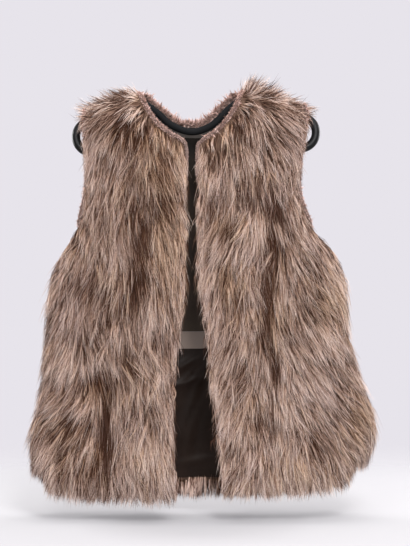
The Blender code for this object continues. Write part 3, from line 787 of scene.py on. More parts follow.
def whole_line(rows):
    """A table that runs out from the middle, as one line from the left end to the right end."""
    left = on_side(rows, "left")[::-1]
    return np.concatenate([left, on_side(rows, "right")[1:]])


def run_along(points):
    """Distance of each point from the first, along the line through them."""
    return np.concatenate([[0.0], np.cumsum(np.linalg.norm(np.diff(points, axis=0), axis=1))])


def points_at(places, along, points):
    """The (x, z) points at these places along a line."""
    return np.stack([np.interp(places, along, points[:, k]) for k in (0, 1)], axis=1)


def smooth_line(points, shares):
    """Points at these shares of the length of a smooth curve through the given points (Hermite spans)."""
    points = np.asarray(points, float)
    chord = run_along(points)
    slope = np.gradient(points, chord, axis=0)
    fine = np.linspace(0.0, chord[-1], FINE_STEPS)
    first = np.clip(np.searchsorted(chord, fine, side="right") - 1, 0, len(chord) - 2)
    span = (chord[first + 1] - chord[first])[:, None]
    t = (fine - chord[first])[:, None] / span
    curve = (
        (1 + 2 * t) * (1 - t) ** 2 * points[first]
        + t * (1 - t) ** 2 * span * slope[first]
        + t * t * (3 - 2 * t) * points[first + 1]
        + t * t * (t - 1) * span * slope[first + 1]
    )
    along = run_along(curve)
    return points_at(shares, along / along[-1], curve)


def line_length(points):
    """Length of the smooth curve through the points."""
    return np.linalg.norm(np.diff(smooth_line(points, np.linspace(0, 1, FINE_STEPS)), axis=0), axis=1).sum()


def filled_outline(bottom, top, start, end, across, up):
    """A Coons patch: the ruled surfaces between opposite edges, added, less the patch of their corners."""
    u = across[None, :, None]
    v = up[:, None, None]
    ruled = (1 - v) * bottom[None] + v * top[None] + (1 - u) * start[:, None] + u * end[:, None]
    low = (1 - u) * bottom[0] + u * bottom[-1]
    high = (1 - u) * top[0] + u * top[-1]
    return ruled - (1 - v) * low - v * high


def shares_up(steps):
    """Row heights from hem to shoulder, closer together where the shoulder turns over."""
    return 1.0 - (1.0 - np.linspace(0.0, 1.0, steps + 1)) ** UP_CROWDING


def shoulder_height(x, side):
    """Height of the shoulder seam's line, carried on towards the middle."""
    near = np.array(on_side([NECK_POINT], side)[0])
    far = np.array(on_side([SHOULDER_TIP], side)[0])
    return near[1] + (x - near[0]) * (far[1] - near[1]) / (far[0] - near[0])


def seam_height(x):
    """Height of the shoulder seam's line on the side that x is on."""
    return np.where(x < 0, shoulder_height(x, "left"), shoulder_height(x, "right"))


def side_line(side):
    """One side's points, from the hem up the seam and the armhole to the shoulder tip."""
    return on_side(SIDE_SEAM + ARMHOLE[1:], side)


def underarm_share(side):
    """The share of a side's length, hem to shoulder tip, that is sewn."""
    return line_length(on_side(SIDE_SEAM, side)) / line_length(side_line(side))


def fold_depth(x, z, folds):
    """How far the cloth falls back: for each fold, a bell curve across it that grows towards the hem."""
    total = np.zeros_like(x)
    hem = HEM_FRONT.left_z
    for fold in folds:
        down = np.clip((fold.top - z) / (fold.top - hem), 0.0, 1.0)
        middle = fold.x_top + (fold.x_hem - fold.x_top) * down
        grown = smooth_step((fold.top - z) / FOLD_GROWTH)
        total += fold.depth * grown * np.exp(-(((x - middle) / fold.width) ** 2))
    return total


def parting_share(x, z, partings):
    """The share of the pile that is left: 1 less a bell curve across each parting, faded at its two ends."""
    left = np.ones_like(x)
    for part in partings:
        along = (part.z_top - z) / (part.z_top - part.z_bottom)
        middle = part.x_top + (part.x_bottom - part.x_top) * np.clip(along, 0.0, 1.0)
        fade = smooth_step(along / PARTING_FADE) * smooth_step((1.0 - along) / PARTING_FADE)
        left *= 1.0 - part.depth * fade * np.exp(-(((x - middle) / part.width) ** 2))
    return left


def edge_distance(plan, axis, from_end=False):
    """Distance from one edge of the panel, measured along its grid lines."""
    step = np.linalg.norm(np.diff(plan, axis=axis), axis=2)
    run = np.cumsum(step, axis=axis)
    pad = [(0, 0), (0, 0)]
    pad[axis] = (1, 0)
    run = np.pad(run, pad)
    return run.take([-1], axis=axis) - run if from_end else run


def taper(distance, share, width=TAPER_WIDTH):
    """Grows from a share at an edge to 1 at the taper's width."""
    return share + (1.0 - share) * smooth_step(distance / width)


Panel = namedtuple("Panel", "inner normal pile hair up facing overhang")


def hung_panel(plan, up, reach, opened, facing, folds, sewn, pile, hair, overhang):
    """A panel that hangs from its shoulder seam: skin, normals, depth of pile and share of the hair's length.

    Its distance from the plane of the seams is the hollow's half depth less the folds, times a superellipse
    of the share across, times a quarter circle of the drop below the shoulder line.
    """
    x, z = plan[..., 0], plan[..., 1]
    drop = seam_height(x) - z
    across = (1.0 - np.clip(reach * opened, 0.0, 1.0) ** SIDE_ROUNDNESS) ** (1.0 / SIDE_ROUNDNESS)
    over = np.sqrt(1.0 - (1.0 - np.clip(drop / SHOULDER_FALL, 0.0, 1.0)) ** 2)
    hollow = np.interp(z, HOLLOW_HEIGHTS, HOLLOW_HALF_DEPTHS)
    depth = (hollow - fold_depth(x, z, folds)) * across * over
    depth[sewn] = 0.0
    inner = np.stack([x, facing * (SEAM_GAP / 2 + depth), z], axis=2)
    normal = unit(np.cross(np.gradient(inner, axis=1), np.gradient(inner, axis=0)))
    normal *= facing * np.sign(normal[..., 1].mean())
    normal[..., 1] = facing * np.maximum(facing * normal[..., 1], 0.0)
    flat = normal.copy()
    flat[..., 1] = 0.0
    normal = unit(np.where(sewn[..., None], flat, normal))
    return Panel(inner, normal, SKIN_THICKNESS + PILE_DEPTH * pile, hair, up, facing, overhang)


def opened_share(up, side):
    """1 along the side seam, and less up the armhole, whose edges stand apart."""
    past = (up - underarm_share(side)) / ARMHOLE_OPENS_OVER
    return 1.0 - (1.0 - ARMHOLE_EDGE_SHARE) * smooth_step(past)


def along_side(up, side, seam, armhole, shoulder):
    """A share along the side: one value down the seam, one up the armhole and one on the shoulder."""
    arm = underarm_share(side)
    places = (0.0, arm - UNDERARM_BEFORE, arm + UNDERARM_PAST, arm + ARMHOLE_UNTIL, SHOULDER_NEAR, 1.0)
    nearly = armhole + SHOULDER_NEAR_SHARE * (shoulder - armhole)
    return np.interp(up, places, (seam, seam, armhole, armhole, nearly, shoulder))


def side_overhang(up, side):
    """How far hair may pass the side of a panel: least along the armhole, most at the shoulder's tip."""
    arm = underarm_share(side)
    places = (0.0, arm - UNDERARM_BEFORE, arm + UNDERARM_PAST, *TIP_PLACES, 1.0)
    nearly = [share * ARMHOLE_OVERHANG for share in TIP_OVERHANGS]
    ends = (EDGE_OVERHANG, EDGE_OVERHANG, ARMHOLE_OVERHANG, *nearly, SHOULDER_OVERHANG)
    return np.interp(up, places, ends)


def front_panel(side, steps):
    """One front: u runs from the front edge and neck to the side, v from the hem to the shoulder."""
    across = np.sin(np.linspace(0.0, math.pi / 2, steps[0] + 1))
    up = shares_up(steps[1])
    shoulder = np.concatenate([on_side([NECK_POINT], side), on_side([SHOULDER_TIP], side)])
    plan = filled_outline(
        smooth_line(on_side(FRONT_HEM, side), across),
        shoulder[0] + across[:, None] * (shoulder[1] - shoulder[0]),
        smooth_line(on_side(FRONT_EDGE + FRONT_NECK[1:], side), up),
        smooth_line(side_line(side), up),
        across,
        up,
    )
    reach = np.broadcast_to(across, plan.shape[:2])
    sewn = np.zeros(plan.shape[:2], bool)
    sewn[up <= underarm_share(side), -1] = True
    sewn[-1, :] = True
    height = plan[:, 0, 1]
    rolled = smooth_step((height - FRONT_ROLL_FROM) / ROLL_BLEND + 0.5)
    bare = smooth_step((height - BARE_FROM) / BARE_OVER)
    neck_pile = OPENING_PILE_SHARE + (NECK_PILE_SHARE - OPENING_PILE_SHARE) * rolled
    neck_hair = OPENING_HAIR_SHARE + (NECK_HAIR_SHARE - OPENING_HAIR_SHARE) * bare
    arm_pile = along_side(up, side, SIDE_PILE_SHARE, ARMHOLE_PILE_SHARE, SHOULDER_PILE_SHARE)
    arm_hair = along_side(up, side, 1.0, ARMHOLE_HAIR_SHARE, SHOULDER_HAIR_SHARE)
    from_neck, from_arm = edge_distance(plan, 1), edge_distance(plan, 1, from_end=True)
    pile = (
        taper(from_neck, neck_pile[:, None])
        * taper(from_arm, arm_pile[:, None])
        * taper(edge_distance(plan, 0), HEM_PILE_SHARE)
        * parting_share(plan[..., 0], plan[..., 1], FRONT_PARTINGS)
    )
    hair = taper(from_neck, neck_hair[:, None], HAIR_TAPER_WIDTH)
    hair = hair * taper(from_arm, arm_hair[:, None], HAIR_TAPER_WIDTH)
    opened = opened_share(up, side)[:, None]
    heights = [row.height for row in OPENING_OVERHANG]
    opening = np.interp(height, heights, [getattr(row, side) for row in OPENING_OVERHANG])
    opening = opening + (CORNER_OVERHANG - opening) * bare
    overhang = np.stack([opening, side_overhang(up, side)], axis=1)
    return hung_panel(plan, up, reach, opened, -1.0, FRONT_FOLDS, sewn, pile, hair, overhang)


def back_top(across):
    """The back's top edge: left shoulder seam, neck curve and right shoulder seam, by its length."""
    neck = smooth_line(whole_line(BACK_NECK), np.linspace(0.0, 1.0, FINE_STEPS))
    line = np.concatenate([on_side([SHOULDER_TIP], "left"), neck, on_side([SHOULDER_TIP], "right")])
    along = run_along(line)
    along /= along[-1]
    points = points_at(across, along, line)
    return points, along[1], along[-2]


def back_panel(steps):
    """The back: u runs from the left side to the right side, v from the hem to the shoulders and neck."""
    turn = np.linspace(-math.pi / 2, math.pi / 2, steps[0] + 1)
    across = (1.0 + np.sin(turn)) / 2.0
    up = shares_up(steps[1])
    neck_from, neck_to = back_top(across)[1:]
    across[[np.argmin(np.abs(across - share)) for share in (neck_from, neck_to)]] = (neck_from, neck_to)
    plan = filled_outline(
        smooth_line(whole_line(BACK_HEM), across),
        back_top(across)[0],
        smooth_line(side_line("left"), up),
        smooth_line(side_line("right"), up),
        across,
        up,
    )
    reach = np.broadcast_to(np.abs(2.0 * across - 1.0), plan.shape[:2])
    opened_left, opened_right = (opened_share(up, side)[:, None] for side in ("left", "right"))
    opened = np.where(plan[..., 0] < 0, opened_left, opened_right)
    on_shoulder = (across <= neck_from + 1e-6) | (across >= neck_to - 1e-6)
    sewn = np.zeros(plan.shape[:2], bool)
    sewn[up <= underarm_share("left"), 0] = True
    sewn[up <= underarm_share("right"), -1] = True
    sewn[-1, on_shoulder] = True
    past_neck = np.minimum(np.abs(across - neck_from), np.abs(across - neck_to))
    in_neck = np.where(on_shoulder, smooth_step(past_neck / BACK_NECK_BLEND), 0.0)
    neck_pile = np.minimum(NECK_PILE_SHARE + in_neck, 1.0)
    neck_hair = np.minimum(NECK_HAIR_SHARE + in_neck, 1.0)
    pile = taper(edge_distance(plan, 0, from_end=True), neck_pile[None, :])
    hair = taper(edge_distance(plan, 0, from_end=True), neck_hair[None, :], HAIR_TAPER_WIDTH)
    for side, from_end in (("left", False), ("right", True)):
        away = edge_distance(plan, 1, from_end=from_end)
        pile_shares = along_side(up, side, SIDE_PILE_SHARE, ARMHOLE_PILE_SHARE, SHOULDER_PILE_SHARE)
        hair_shares = along_side(up, side, 1.0, ARMHOLE_HAIR_SHARE, SHOULDER_HAIR_SHARE)
        pile = pile * taper(away, pile_shares[:, None])
        hair = hair * taper(away, hair_shares[:, None], HAIR_TAPER_WIDTH)
    pile = pile * taper(edge_distance(plan, 0), HEM_PILE_SHARE)
    pile = pile * parting_share(plan[..., 0], plan[..., 1], BACK_PARTINGS)
    overhang = np.stack([side_overhang(up, side) for side in ("left", "right")], axis=1)
    panel = hung_panel(plan, up, reach, opened, 1.0, BACK_FOLDS, sewn, pile, hair, overhang)
    return panel, ~on_shoulder


def rows_at(grid, up, heights):
    """Rows of a grid at other shares of its height, by straight lines between its own rows."""
    place = np.interp(heights, up, np.arange(len(up)))
    low = np.minimum(place.astype(int), len(up) - 2)
    part = (place - low).reshape(-1, *([1] * (grid.ndim - 1)))
    return grid[low] * (1 - part) + grid[low + 1] * part


def at_places(grid, row, column):
    """Values of a grid between its points, by the four points around each place."""
    row = np.clip(row, 0.0, grid.shape[0] - 1.0)
    column = np.clip(column, 0.0, grid.shape[1] - 1.0)
    r = np.minimum(row.astype(int), grid.shape[0] - 2)
    c = np.minimum(column.astype(int), grid.shape[1] - 2)
    extra = (1,) * (grid.ndim - 2)
    fr = (row - r).reshape(-1, *extra)
    fc = (column - c).reshape(-1, *extra)
    low = grid[r, c] * (1 - fc) + grid[r, c + 1] * fc
    high = grid[r + 1, c] * (1 - fc) + grid[r + 1, c + 1] * fc
    return low * (1 - fr) + high * fr


def grid_faces(rows, columns, offset=0):
    """Quads of a grid of points stored row by row."""
    corner = (np.arange(rows - 1)[:, None] * columns + np.arange(columns - 1)).ravel() + offset
    return np.stack([corner, corner + 1, corner + columns + 1, corner + columns], axis=1)


def add_piece(name, points, faces, material, nodes, slot):
    """A closed mesh as a piece that rides on the vest and stands for some of its solids."""
    mesh = bpy.data.meshes.new(name)
    mesh.from_pydata(points.tolist(), [], faces if isinstance(faces, list) else faces.tolist())
    bm = bmesh.new()
    bm.from_mesh(mesh)
    bmesh.ops.recalc_face_normals(bm, faces=bm.faces)
    bm.to_mesh(mesh)
    bm.free()
    mesh.shade_smooth()
    mesh.set_sharp_from_angle(angle=math.radians(SHARP_ANGLE))
    return finish_piece(name, mesh, material, nodes)


def finish_piece(name, mesh, material, nodes):
    """Links a mesh as an object with its material and body, and hides its solids."""
    mesh.materials.append(material)
    piece = bpy.data.objects.new(name, mesh)
    bpy.context.scene.collection.objects.link(piece)
    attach(piece, BODY)
    if nodes:
        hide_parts(*nodes)
    return piece


def wall(near, far):
    """Points and faces of a closed wall between two grids of one size: both grids and the rim between."""
    rows, columns = near.shape[:2]
    count = rows * columns
    index = np.arange(count).reshape(rows, columns)
    rim = np.concatenate([index[0, :-1], index[:-1, -1], index[-1, :0:-1], index[:0:-1, 0]])
    after = np.roll(rim, -1)
    sides = np.stack([rim, after, after + count, rim + count], axis=1)
    faces = np.concatenate([grid_faces(rows, columns)[:, ::-1], grid_faces(rows, columns, count), sides])
    return np.concatenate([near.reshape(-1, 3), far.reshape(-1, 3)]), faces


def tube(rings):
    """Points and faces of a closed tube through rings of points, with a cap at each end."""
    rows, sides = rings.shape[:2]
    faces = grid_faces(rows, sides + 1)
    faces = faces // (sides + 1) * sides + faces % (sides + 1) % sides
    caps = [list(range(sides)), list(range((rows - 1) * sides, rows * sides))]
    return rings.reshape(-1, 3), faces.tolist() + caps


def new_tree(name):
    """A new material, its node tree and its Principled shader."""
    material = bpy.data.materials.new(name)
    material.use_nodes = True
    tree = material.node_tree
    return material, tree, tree.nodes["Principled BSDF"]


def set_inputs(tree, node, values):
    """Sets a node's inputs to values, or links them to sockets."""
    for key, value in values.items():
        if isinstance(value, bpy.types.NodeSocket):
            tree.links.new(value, node.inputs[key])
        else:
            node.inputs[key].default_value = value


def add_node(tree, kind, values=None, **settings):
    """A node with its settings, and its inputs either set or linked."""
    node = tree.nodes.new(kind)
    for key, value in settings.items():
        setattr(node, key, value)
    set_inputs(tree, node, values or {})
    return node


def math_node(tree, operation, *values):
    """A Math node's output."""
    return add_node(tree, "ShaderNodeMath", dict(enumerate(values)), operation=operation).outputs[0]


def mix_colour(tree, factor, first, second, blend="MIX"):
    """A colour Mix node's output."""
    values = {0: factor, 6: first, 7: second}
    return add_node(tree, "ShaderNodeMix", values, data_type="RGBA", blend_type=blend).outputs[2]


def ramp(tree, value, limits, ends, curve="LINEAR"):
    """A Map Range node's output: from one end to the other as the value passes its limits."""
    values = dict(enumerate((value, *limits, *ends)))
    return add_node(tree, "ShaderNodeMapRange", values, clamp=True, interpolation_type=curve).outputs[0]


def noise(tree, place, scale, detail=2.0):
    """A Noise Texture's value."""
    values = {"Vector": place, "Scale": scale, "Detail": detail}
    return add_node(tree, "ShaderNodeTexNoise", values).outputs[0]


def object_place(tree):
    """Object coordinates."""
    return add_node(tree, "ShaderNodeTexCoord").outputs["Object"]


def new_group(name, inputs, outputs):
    """A shader node group with named sockets. Returns the tree, its inputs' sockets and its output node."""
    tree = bpy.data.node_groups.new(name, "ShaderNodeTree")
    for way, sockets in (("INPUT", inputs), ("OUTPUT", outputs)):
        for title, kind in sockets.items():
            tree.interface.new_socket(name=title, in_out=way, socket_type=f"NodeSocket{kind}")
    return tree, tree.nodes.new("NodeGroupInput").outputs, tree.nodes.new("NodeGroupOutput")


def place_group(tree, name, values):
    """Puts a node group into a material with its own values."""
    return add_node(tree, "ShaderNodeGroup", values, node_tree=bpy.data.node_groups[name])


def opaque(colour):
    """A colour with full alpha."""
    return (*colour, 1.0)


def shaded(colour, share):
    """A colour times a share."""
    return [part * share for part in colour]


def make_hair_group():
    """Colour of a hair from its own map: U holds three families of tones side by side, V runs root to tip."""
    inputs = {"Map": "Vector"} | dict.fromkeys(("Root", "Middle", "Tip", "Warm", "Cool"), "Color")
    tree, source, target = new_group("hair_tones", inputs, {"Colour": "Color"})
    split = add_node(tree, "ShaderNodeSeparateXYZ", {0: source["Map"]}).outputs
    family = math_node(tree, "MULTIPLY", split[0], float(FAMILIES))
    tone = math_node(tree, "FRACT", family)
    family = math_node(tree, "FLOOR", family)
    low = ramp(tree, split[1], ROOT_TO_MIDDLE, (0.0, 1.0))
    high = ramp(tree, split[1], MIDDLE_TO_TIP, (0.0, 1.0))
    colour = mix_colour(tree, low, source["Root"], source["Middle"])
    colour = mix_colour(tree, high, colour, source["Tip"])
    tint = mix_colour(tree, math_node(tree, "MINIMUM", family, 1.0), source["Warm"], opaque(WHITE))
    grey = math_node(tree, "SUBTRACT", math_node(tree, "MAXIMUM", family, 1.0), 1.0)
    tint = mix_colour(tree, grey, tint, source["Cool"])
    colour = mix_colour(tree, 1.0, colour, tint, "MULTIPLY")
    light = ramp(tree, tone, (0.0, 1.0), TONE_LIGHT)
    parts = [math_node(tree, "POWER", light, power) for power in TONE_POWERS]
    light = add_node(tree, "ShaderNodeCombineColor", dict(enumerate(parts))).outputs[0]
    set_inputs(tree, target, {"Colour": mix_colour(tree, 1.0, colour, light, "MULTIPLY")})


def make_weave_group():
    """Cloth: warp and weft as crossed waves on Object coordinates, with a broad uneven shade, which on the
    satin stands for painted reflections.
    """
    inputs = {"Place": "Vector", "Base": "Color", "Shade": "Color", "Threads": "Float", "Blotch": "Float"}
    outputs = {"Colour": "Color", "Height": "Float", "Roughness": "Float"}
    tree, source, target = new_group("woven_cloth", inputs, outputs)
    scaling = {0: source["Place"], "Scale": source["Threads"]}
    scaled = add_node(tree, "ShaderNodeVectorMath", scaling, operation="SCALE").outputs[0]
    threads = [
        add_node(tree, "ShaderNodeTexWave", {"Vector": scaled, "Scale": 1.0}, bands_direction=way).outputs[1]
        for way in ("X", "Z")
    ]
    height = math_node(tree, "MAXIMUM", *threads)
    blotch = noise(tree, source["Place"], source["Blotch"], BLOTCH_DETAIL)
    uneven = math_node(tree, "MULTIPLY", blotch, BLOTCH_SHARE)
    fine = math_node(tree, "MULTIPLY", height, THREAD_SHARE)
    values = {
        "Colour": mix_colour(tree, math_node(tree, "ADD", uneven, fine), source["Shade"], source["Base"]),
        "Height": height,
        "Roughness": ramp(tree, blotch, NOISE_RANGE, CLOTH_ROUGHNESS),
    }
    set_inputs(tree, target, values)


def hair_material(name, middle, tip):
    """Hair shaded from its own map, with a soft gloss."""
    fur = bpy.context.scene.fur_vest_fur
    material, tree, shader = new_tree(name)
    tones = {"Root": fur.root, "Middle": middle, "Tip": tip, "Warm": fur.warm, "Cool": fur.cool}
    values = {title: opaque(colour) for title, colour in tones.items()}
    values["Map"] = add_node(tree, "ShaderNodeUVMap", uv_map="OFBake").outputs[0]
    colour = place_group(tree, "hair_tones", values).outputs["Colour"]
    values = {"Base Color": colour, "Roughness": HAIR_ROUGHNESS, "Specular IOR Level": HAIR_GLOSS}
    set_inputs(tree, shader, values)
    return material


def woven(tree, place, colour, weave):
    """The outputs of the cloth group, placed with a colour and a weave."""
    values = {"Place": place, "Base": opaque(colour), "Shade": opaque(shaded(colour, weave.shade))}
    values |= {"Threads": weave.threads, "Blotch": weave.blotch}
    return place_group(tree, "woven_cloth", values).outputs


def pelt_material(name, dark, pale):
    """Dense under-wool outside, streaked along the hair, and the lining's dark satin on the inside."""
    material, tree, shader = new_tree(name)
    place = object_place(tree)
    long = add_node(tree, "ShaderNodeMapping", {"Vector": place, "Scale": WOOL_STREAKS}).outputs[0]
    streak = noise(tree, long, 1.0, WOOL_DETAIL)
    wool = mix_colour(tree, streak, opaque(dark), opaque(pale))
    inside = add_node(tree, "ShaderNodeAttribute", attribute_name="inside").outputs["Fac"]
    cloth = woven(tree, place, bpy.context.scene.fur_vest_lining.satin, WEAVES["inside"])
    bump = {"Height": streak, "Strength": WOOL_BUMP, "Distance": WOOL_HEIGHT}
    values = {
        "Base Color": mix_colour(tree, inside, wool, cloth["Colour"]),
        "Roughness": ramp(tree, inside, (0.0, 1.0), (WOOL_ROUGHNESS, INSIDE_ROUGHNESS)),
        "Normal": add_node(tree, "ShaderNodeBump", bump).outputs[0],
        "Specular IOR Level": WEAVES["inside"].gloss,
    }
    set_inputs(tree, shader, values)
    return material


def cloth_material(name, colour, weave):
    """A woven lining cloth with a soft sheen, and painted shade towards the neck where its weave says so."""
    material, tree, shader = new_tree(name)
    place = object_place(tree)
    height = add_node(tree, "ShaderNodeSeparateXYZ", {0: place}).outputs[2]
    # Painted shade: the colour darkens towards the neck by the weave's share
    fade = ramp(tree, height, (NECK_PAINTED_SHADE_FROM, NECK_PAINTED_SHADE_TO), (1.0, weave.neck))
    cloth = woven(tree, place, colour, weave)
    bump = {"Height": cloth["Height"], "Strength": weave.bump, "Distance": THREAD_HEIGHT}
    values = {
        "Base Color": mix_colour(tree, fade, opaque(BLACK), cloth["Colour"]),
        "Roughness": cloth["Roughness"],
        "Normal": add_node(tree, "ShaderNodeBump", bump).outputs[0],
        "Specular IOR Level": weave.gloss,
        "Sheen Weight": weave.sheen,
        "Sheen Roughness": SHEEN_ROUGHNESS,
    }
    set_inputs(tree, shader, values)
    return material


def plastic_material(name, colour, finish):
    """Black plastic with a faint flow in its colour and gloss."""
    material, tree, shader = new_tree(name)
    flow = noise(tree, object_place(tree), FLOW_SCALE, FLOW_DETAIL)
    dark, pale = (opaque(shaded(colour, share)) for share in FLOW_SHADES)
    values = {
        "Base Color": mix_colour(tree, flow, dark, pale),
        "Roughness": ramp(tree, flow, NOISE_RANGE, (finish.smooth, finish.dull)),
        "Specular IOR Level": finish.gloss,
    }
    set_inputs(tree, shader, values)
    return material


def combed_angle(x, z, rows):
    """The comb's angle in radians: the mean of the table's angles, weighted by bell curves of distance."""
    row_x, row_z, angle = np.array(rows).T
    near = ((x[:, None] - row_x) ** 2 + (z[:, None] - row_z) ** 2) / (2 * COMB_REACH * COMB_REACH)
    weight = np.exp(-near) + 1e-9
    return np.radians((weight * angle).sum(axis=1) / weight.sum(axis=1))


def shade_at(x, z, rows):
    """Sums of the patches' painted light and shade and of their warmth, each a bell curve in both directions.
    """
    row_x, row_z, width, height, light, warmth = np.array(rows).T
    weight = np.exp(-(((x[:, None] - row_x) / width) ** 2) - ((z[:, None] - row_z) / height) ** 2)
    return weight @ light, weight @ warmth


def scatter(panel, count, rng, columns, low, high):
    """Places spread evenly over the skin, as rows and columns of its grid: a cell is drawn by its area."""
    inner = panel.inner
    corner = inner[:-1, :-1]
    area = np.linalg.norm(np.cross(inner[1:, :-1] - corner, inner[:-1, 1:] - corner), axis=2)
    area = area * ((panel.up[:-1, None] >= low) & (panel.up[:-1, None] <= high)) * columns[None, :-1]
    cell = rng.choice(area.size, size=count, p=(area / area.sum()).ravel())
    row, column = np.divmod(cell, area.shape[1])
    return row + rng.random(count), column + rng.random(count)


def nearest(points, centres, chunk=1500):
    """Index of the nearest centre to each point."""
    parts = np.array_split(points, max(1, len(points) // chunk))
    return np.concatenate([np.argmin(((part[:, None] - centres) ** 2).sum(axis=2), axis=1) for part in parts])


def combed_paths(panel, row, column, length, swerve, rise, loose, comb):
    """Wisp centre lines: from each root, steps along the skin as it is combed, lifted off along the normal.

    Each step solves for the grid move whose point moves along the comb's direction laid onto the skin.
    Past an edge of the panel the line goes straight on, for a limited way at the sides. Where the comb points
    out of the skin the hair also lifts.
    """
    along_row = np.gradient(panel.inner, axis=0)
    along_column = np.gradient(panel.inner, axis=1)
    points, lifted = [], np.zeros((len(row), 1))
    short = 1.0 - at_places(panel.hair, row, column)[:, None]
    rises = np.interp(PATH_PLACES, HAIR_PLACES, HAIR_RISE)
    for place, share in zip(PATH_PLACES, rises):
        skin = at_places(panel.inner, row, column)
        normal = unit(at_places(panel.normal, row, column))
        u, v = at_places(along_column, row, column), at_places(along_row, row, column)
        past_column = (column - np.clip(column, 0, panel.inner.shape[1] - 1))[:, None]
        past_row = (row - np.clip(row, 0, panel.inner.shape[0] - 1))[:, None]
        ends = at_places(panel.overhang, row, np.where(column > 0, 1.0, 0.0))[:, None]
        ends = np.maximum(ends, np.minimum(loose * ends, LOOSE_MOST))
        past = np.maximum(np.linalg.norm(u * past_column, axis=1, keepdims=True), 1e-9)
        past_column = past_column * np.minimum(1.0, ends / past)
        skin = skin + u * past_column + v * past_row
        stand = share + EDGE_RAISE * short * (1.0 - share)
        risen = 1 + (rise - 1) * min(1.0, LIFT_PACE * place)
        height = at_places(panel.pile, row, column)[:, None] * stand * risen
        points.append(skin + normal * (height + lifted))
        angle = combed_angle(skin[:, 0], skin[:, 2], comb) + swerve * (1.0 - TURN_FADE * place)
        over = panel.facing * SHOULDER_ROLL * np.maximum(normal[:, 2], 0.0)
        aim = unit(np.stack([np.sin(angle), over, -np.cos(angle)], axis=1))
        uu, uv, vv = dot(u, u), dot(u, v), dot(v, v)
        au, av = dot(aim, u), dot(aim, v)
        det = np.maximum(uu * vv - uv * uv, 1e-18)
        move_u, move_v = (vv * au - uv * av) / det, (uu * av - uv * au) / det
        pace = np.maximum(np.linalg.norm(u * move_u + v * move_v, axis=1, keepdims=True), LEAST_PACE)
        step = (length * PATH_PLACES[1])[:, None]
        column = column + (move_u * step / pace)[:, 0]
        row = row + (move_v * step / pace)[:, 0]
        lifted = lifted + OUTWARD_LIFT * step * np.maximum(dot(aim, normal), 0.0)
    return np.stack(points[::2], axis=1), normal


def ridges_at(x, z, comb, rng):
    """Relief of the long locks: waves of the place that each combed line comes from.

    The line is followed back against the comb for some steps, so that all hairs along it share a wave.
    The wave's phase drifts with the height.
    """
    from_x, from_z = x.copy(), z.copy()
    for _ in range(FLOW_STEPS):
        angle = combed_angle(from_x, from_z, comb)
        from_x, from_z = from_x - FLOW_STEP * np.sin(angle), from_z + FLOW_STEP * np.cos(angle)
    relief = np.zeros_like(x)
    for ridge in RIDGES:
        start, turn = rng.uniform(0, 2 * math.pi, 2)
        drift = ridge.wander * np.sin(2 * math.pi * z / RIDGE_LENGTH + turn)
        relief += ridge.share * np.sin(2 * math.pi * from_x / ridge.width + start + drift)
    return relief


def crowned(path, root, rng):
    """Wisps near the shoulder seams, stood up: each turns towards a straight line out from its root.

    The share of the turn is a bell curve of the root's drop below the seam's line. Also returns that share.
    """
    near = np.exp(-(((seam_height(root[:, 0]) - root[:, 2]) / CROWN_DEPTH) ** 2))
    row_x, row_rise, row_reach = np.array(CROWN).T
    rise = np.radians(np.interp(root[:, 0], row_x, row_rise) + rng.normal(0, CROWN_SPREAD, len(root)))
    reach = np.interp(root[:, 0], row_x, row_reach) * rng.uniform(*CROWN_REACHES, len(root))
    deep = rng.normal(0, CROWN_LEAN, len(root))
    aim = unit(np.stack([np.sign(root[:, 0]) * np.cos(rise), deep, np.sin(rise)], axis=1)) * reach[:, None]
    straight = path[:, :1] + aim[:, None] * HAIR_PLACES[None, :, None]
    return path + near[:, None, None] * (straight - path), near


def cut_at_hem(path, panel, rng):
    """Shortens the hair whose tip would hang lower than the hem, by a little more or less for each wisp."""
    hem = panel.inner[0]
    order = np.argsort(hem[:, 0])
    tip_x = path[:, -1, 0]
    over = rng.triangular(HEM_SHORTEST, HEM_USUAL, HEM_OVERHANG, len(path))
    over = over + HEM_SIDE_EXTRA * smooth_step((np.abs(tip_x) - HEM_SIDE_FROM) / HEM_SIDE_OVER)
    line = np.interp(tip_x, hem[order, 0], hem[order, 2]) - over
    fall = np.maximum(path[:, 0, 2] - path[:, -1, 2], 1e-4)
    share = np.clip((path[:, 0, 2] - line) / fall, LEAST_LENGTH, 1.0)[:, None, None]
    return path[:, :1] + (path - path[:, :1]) * share


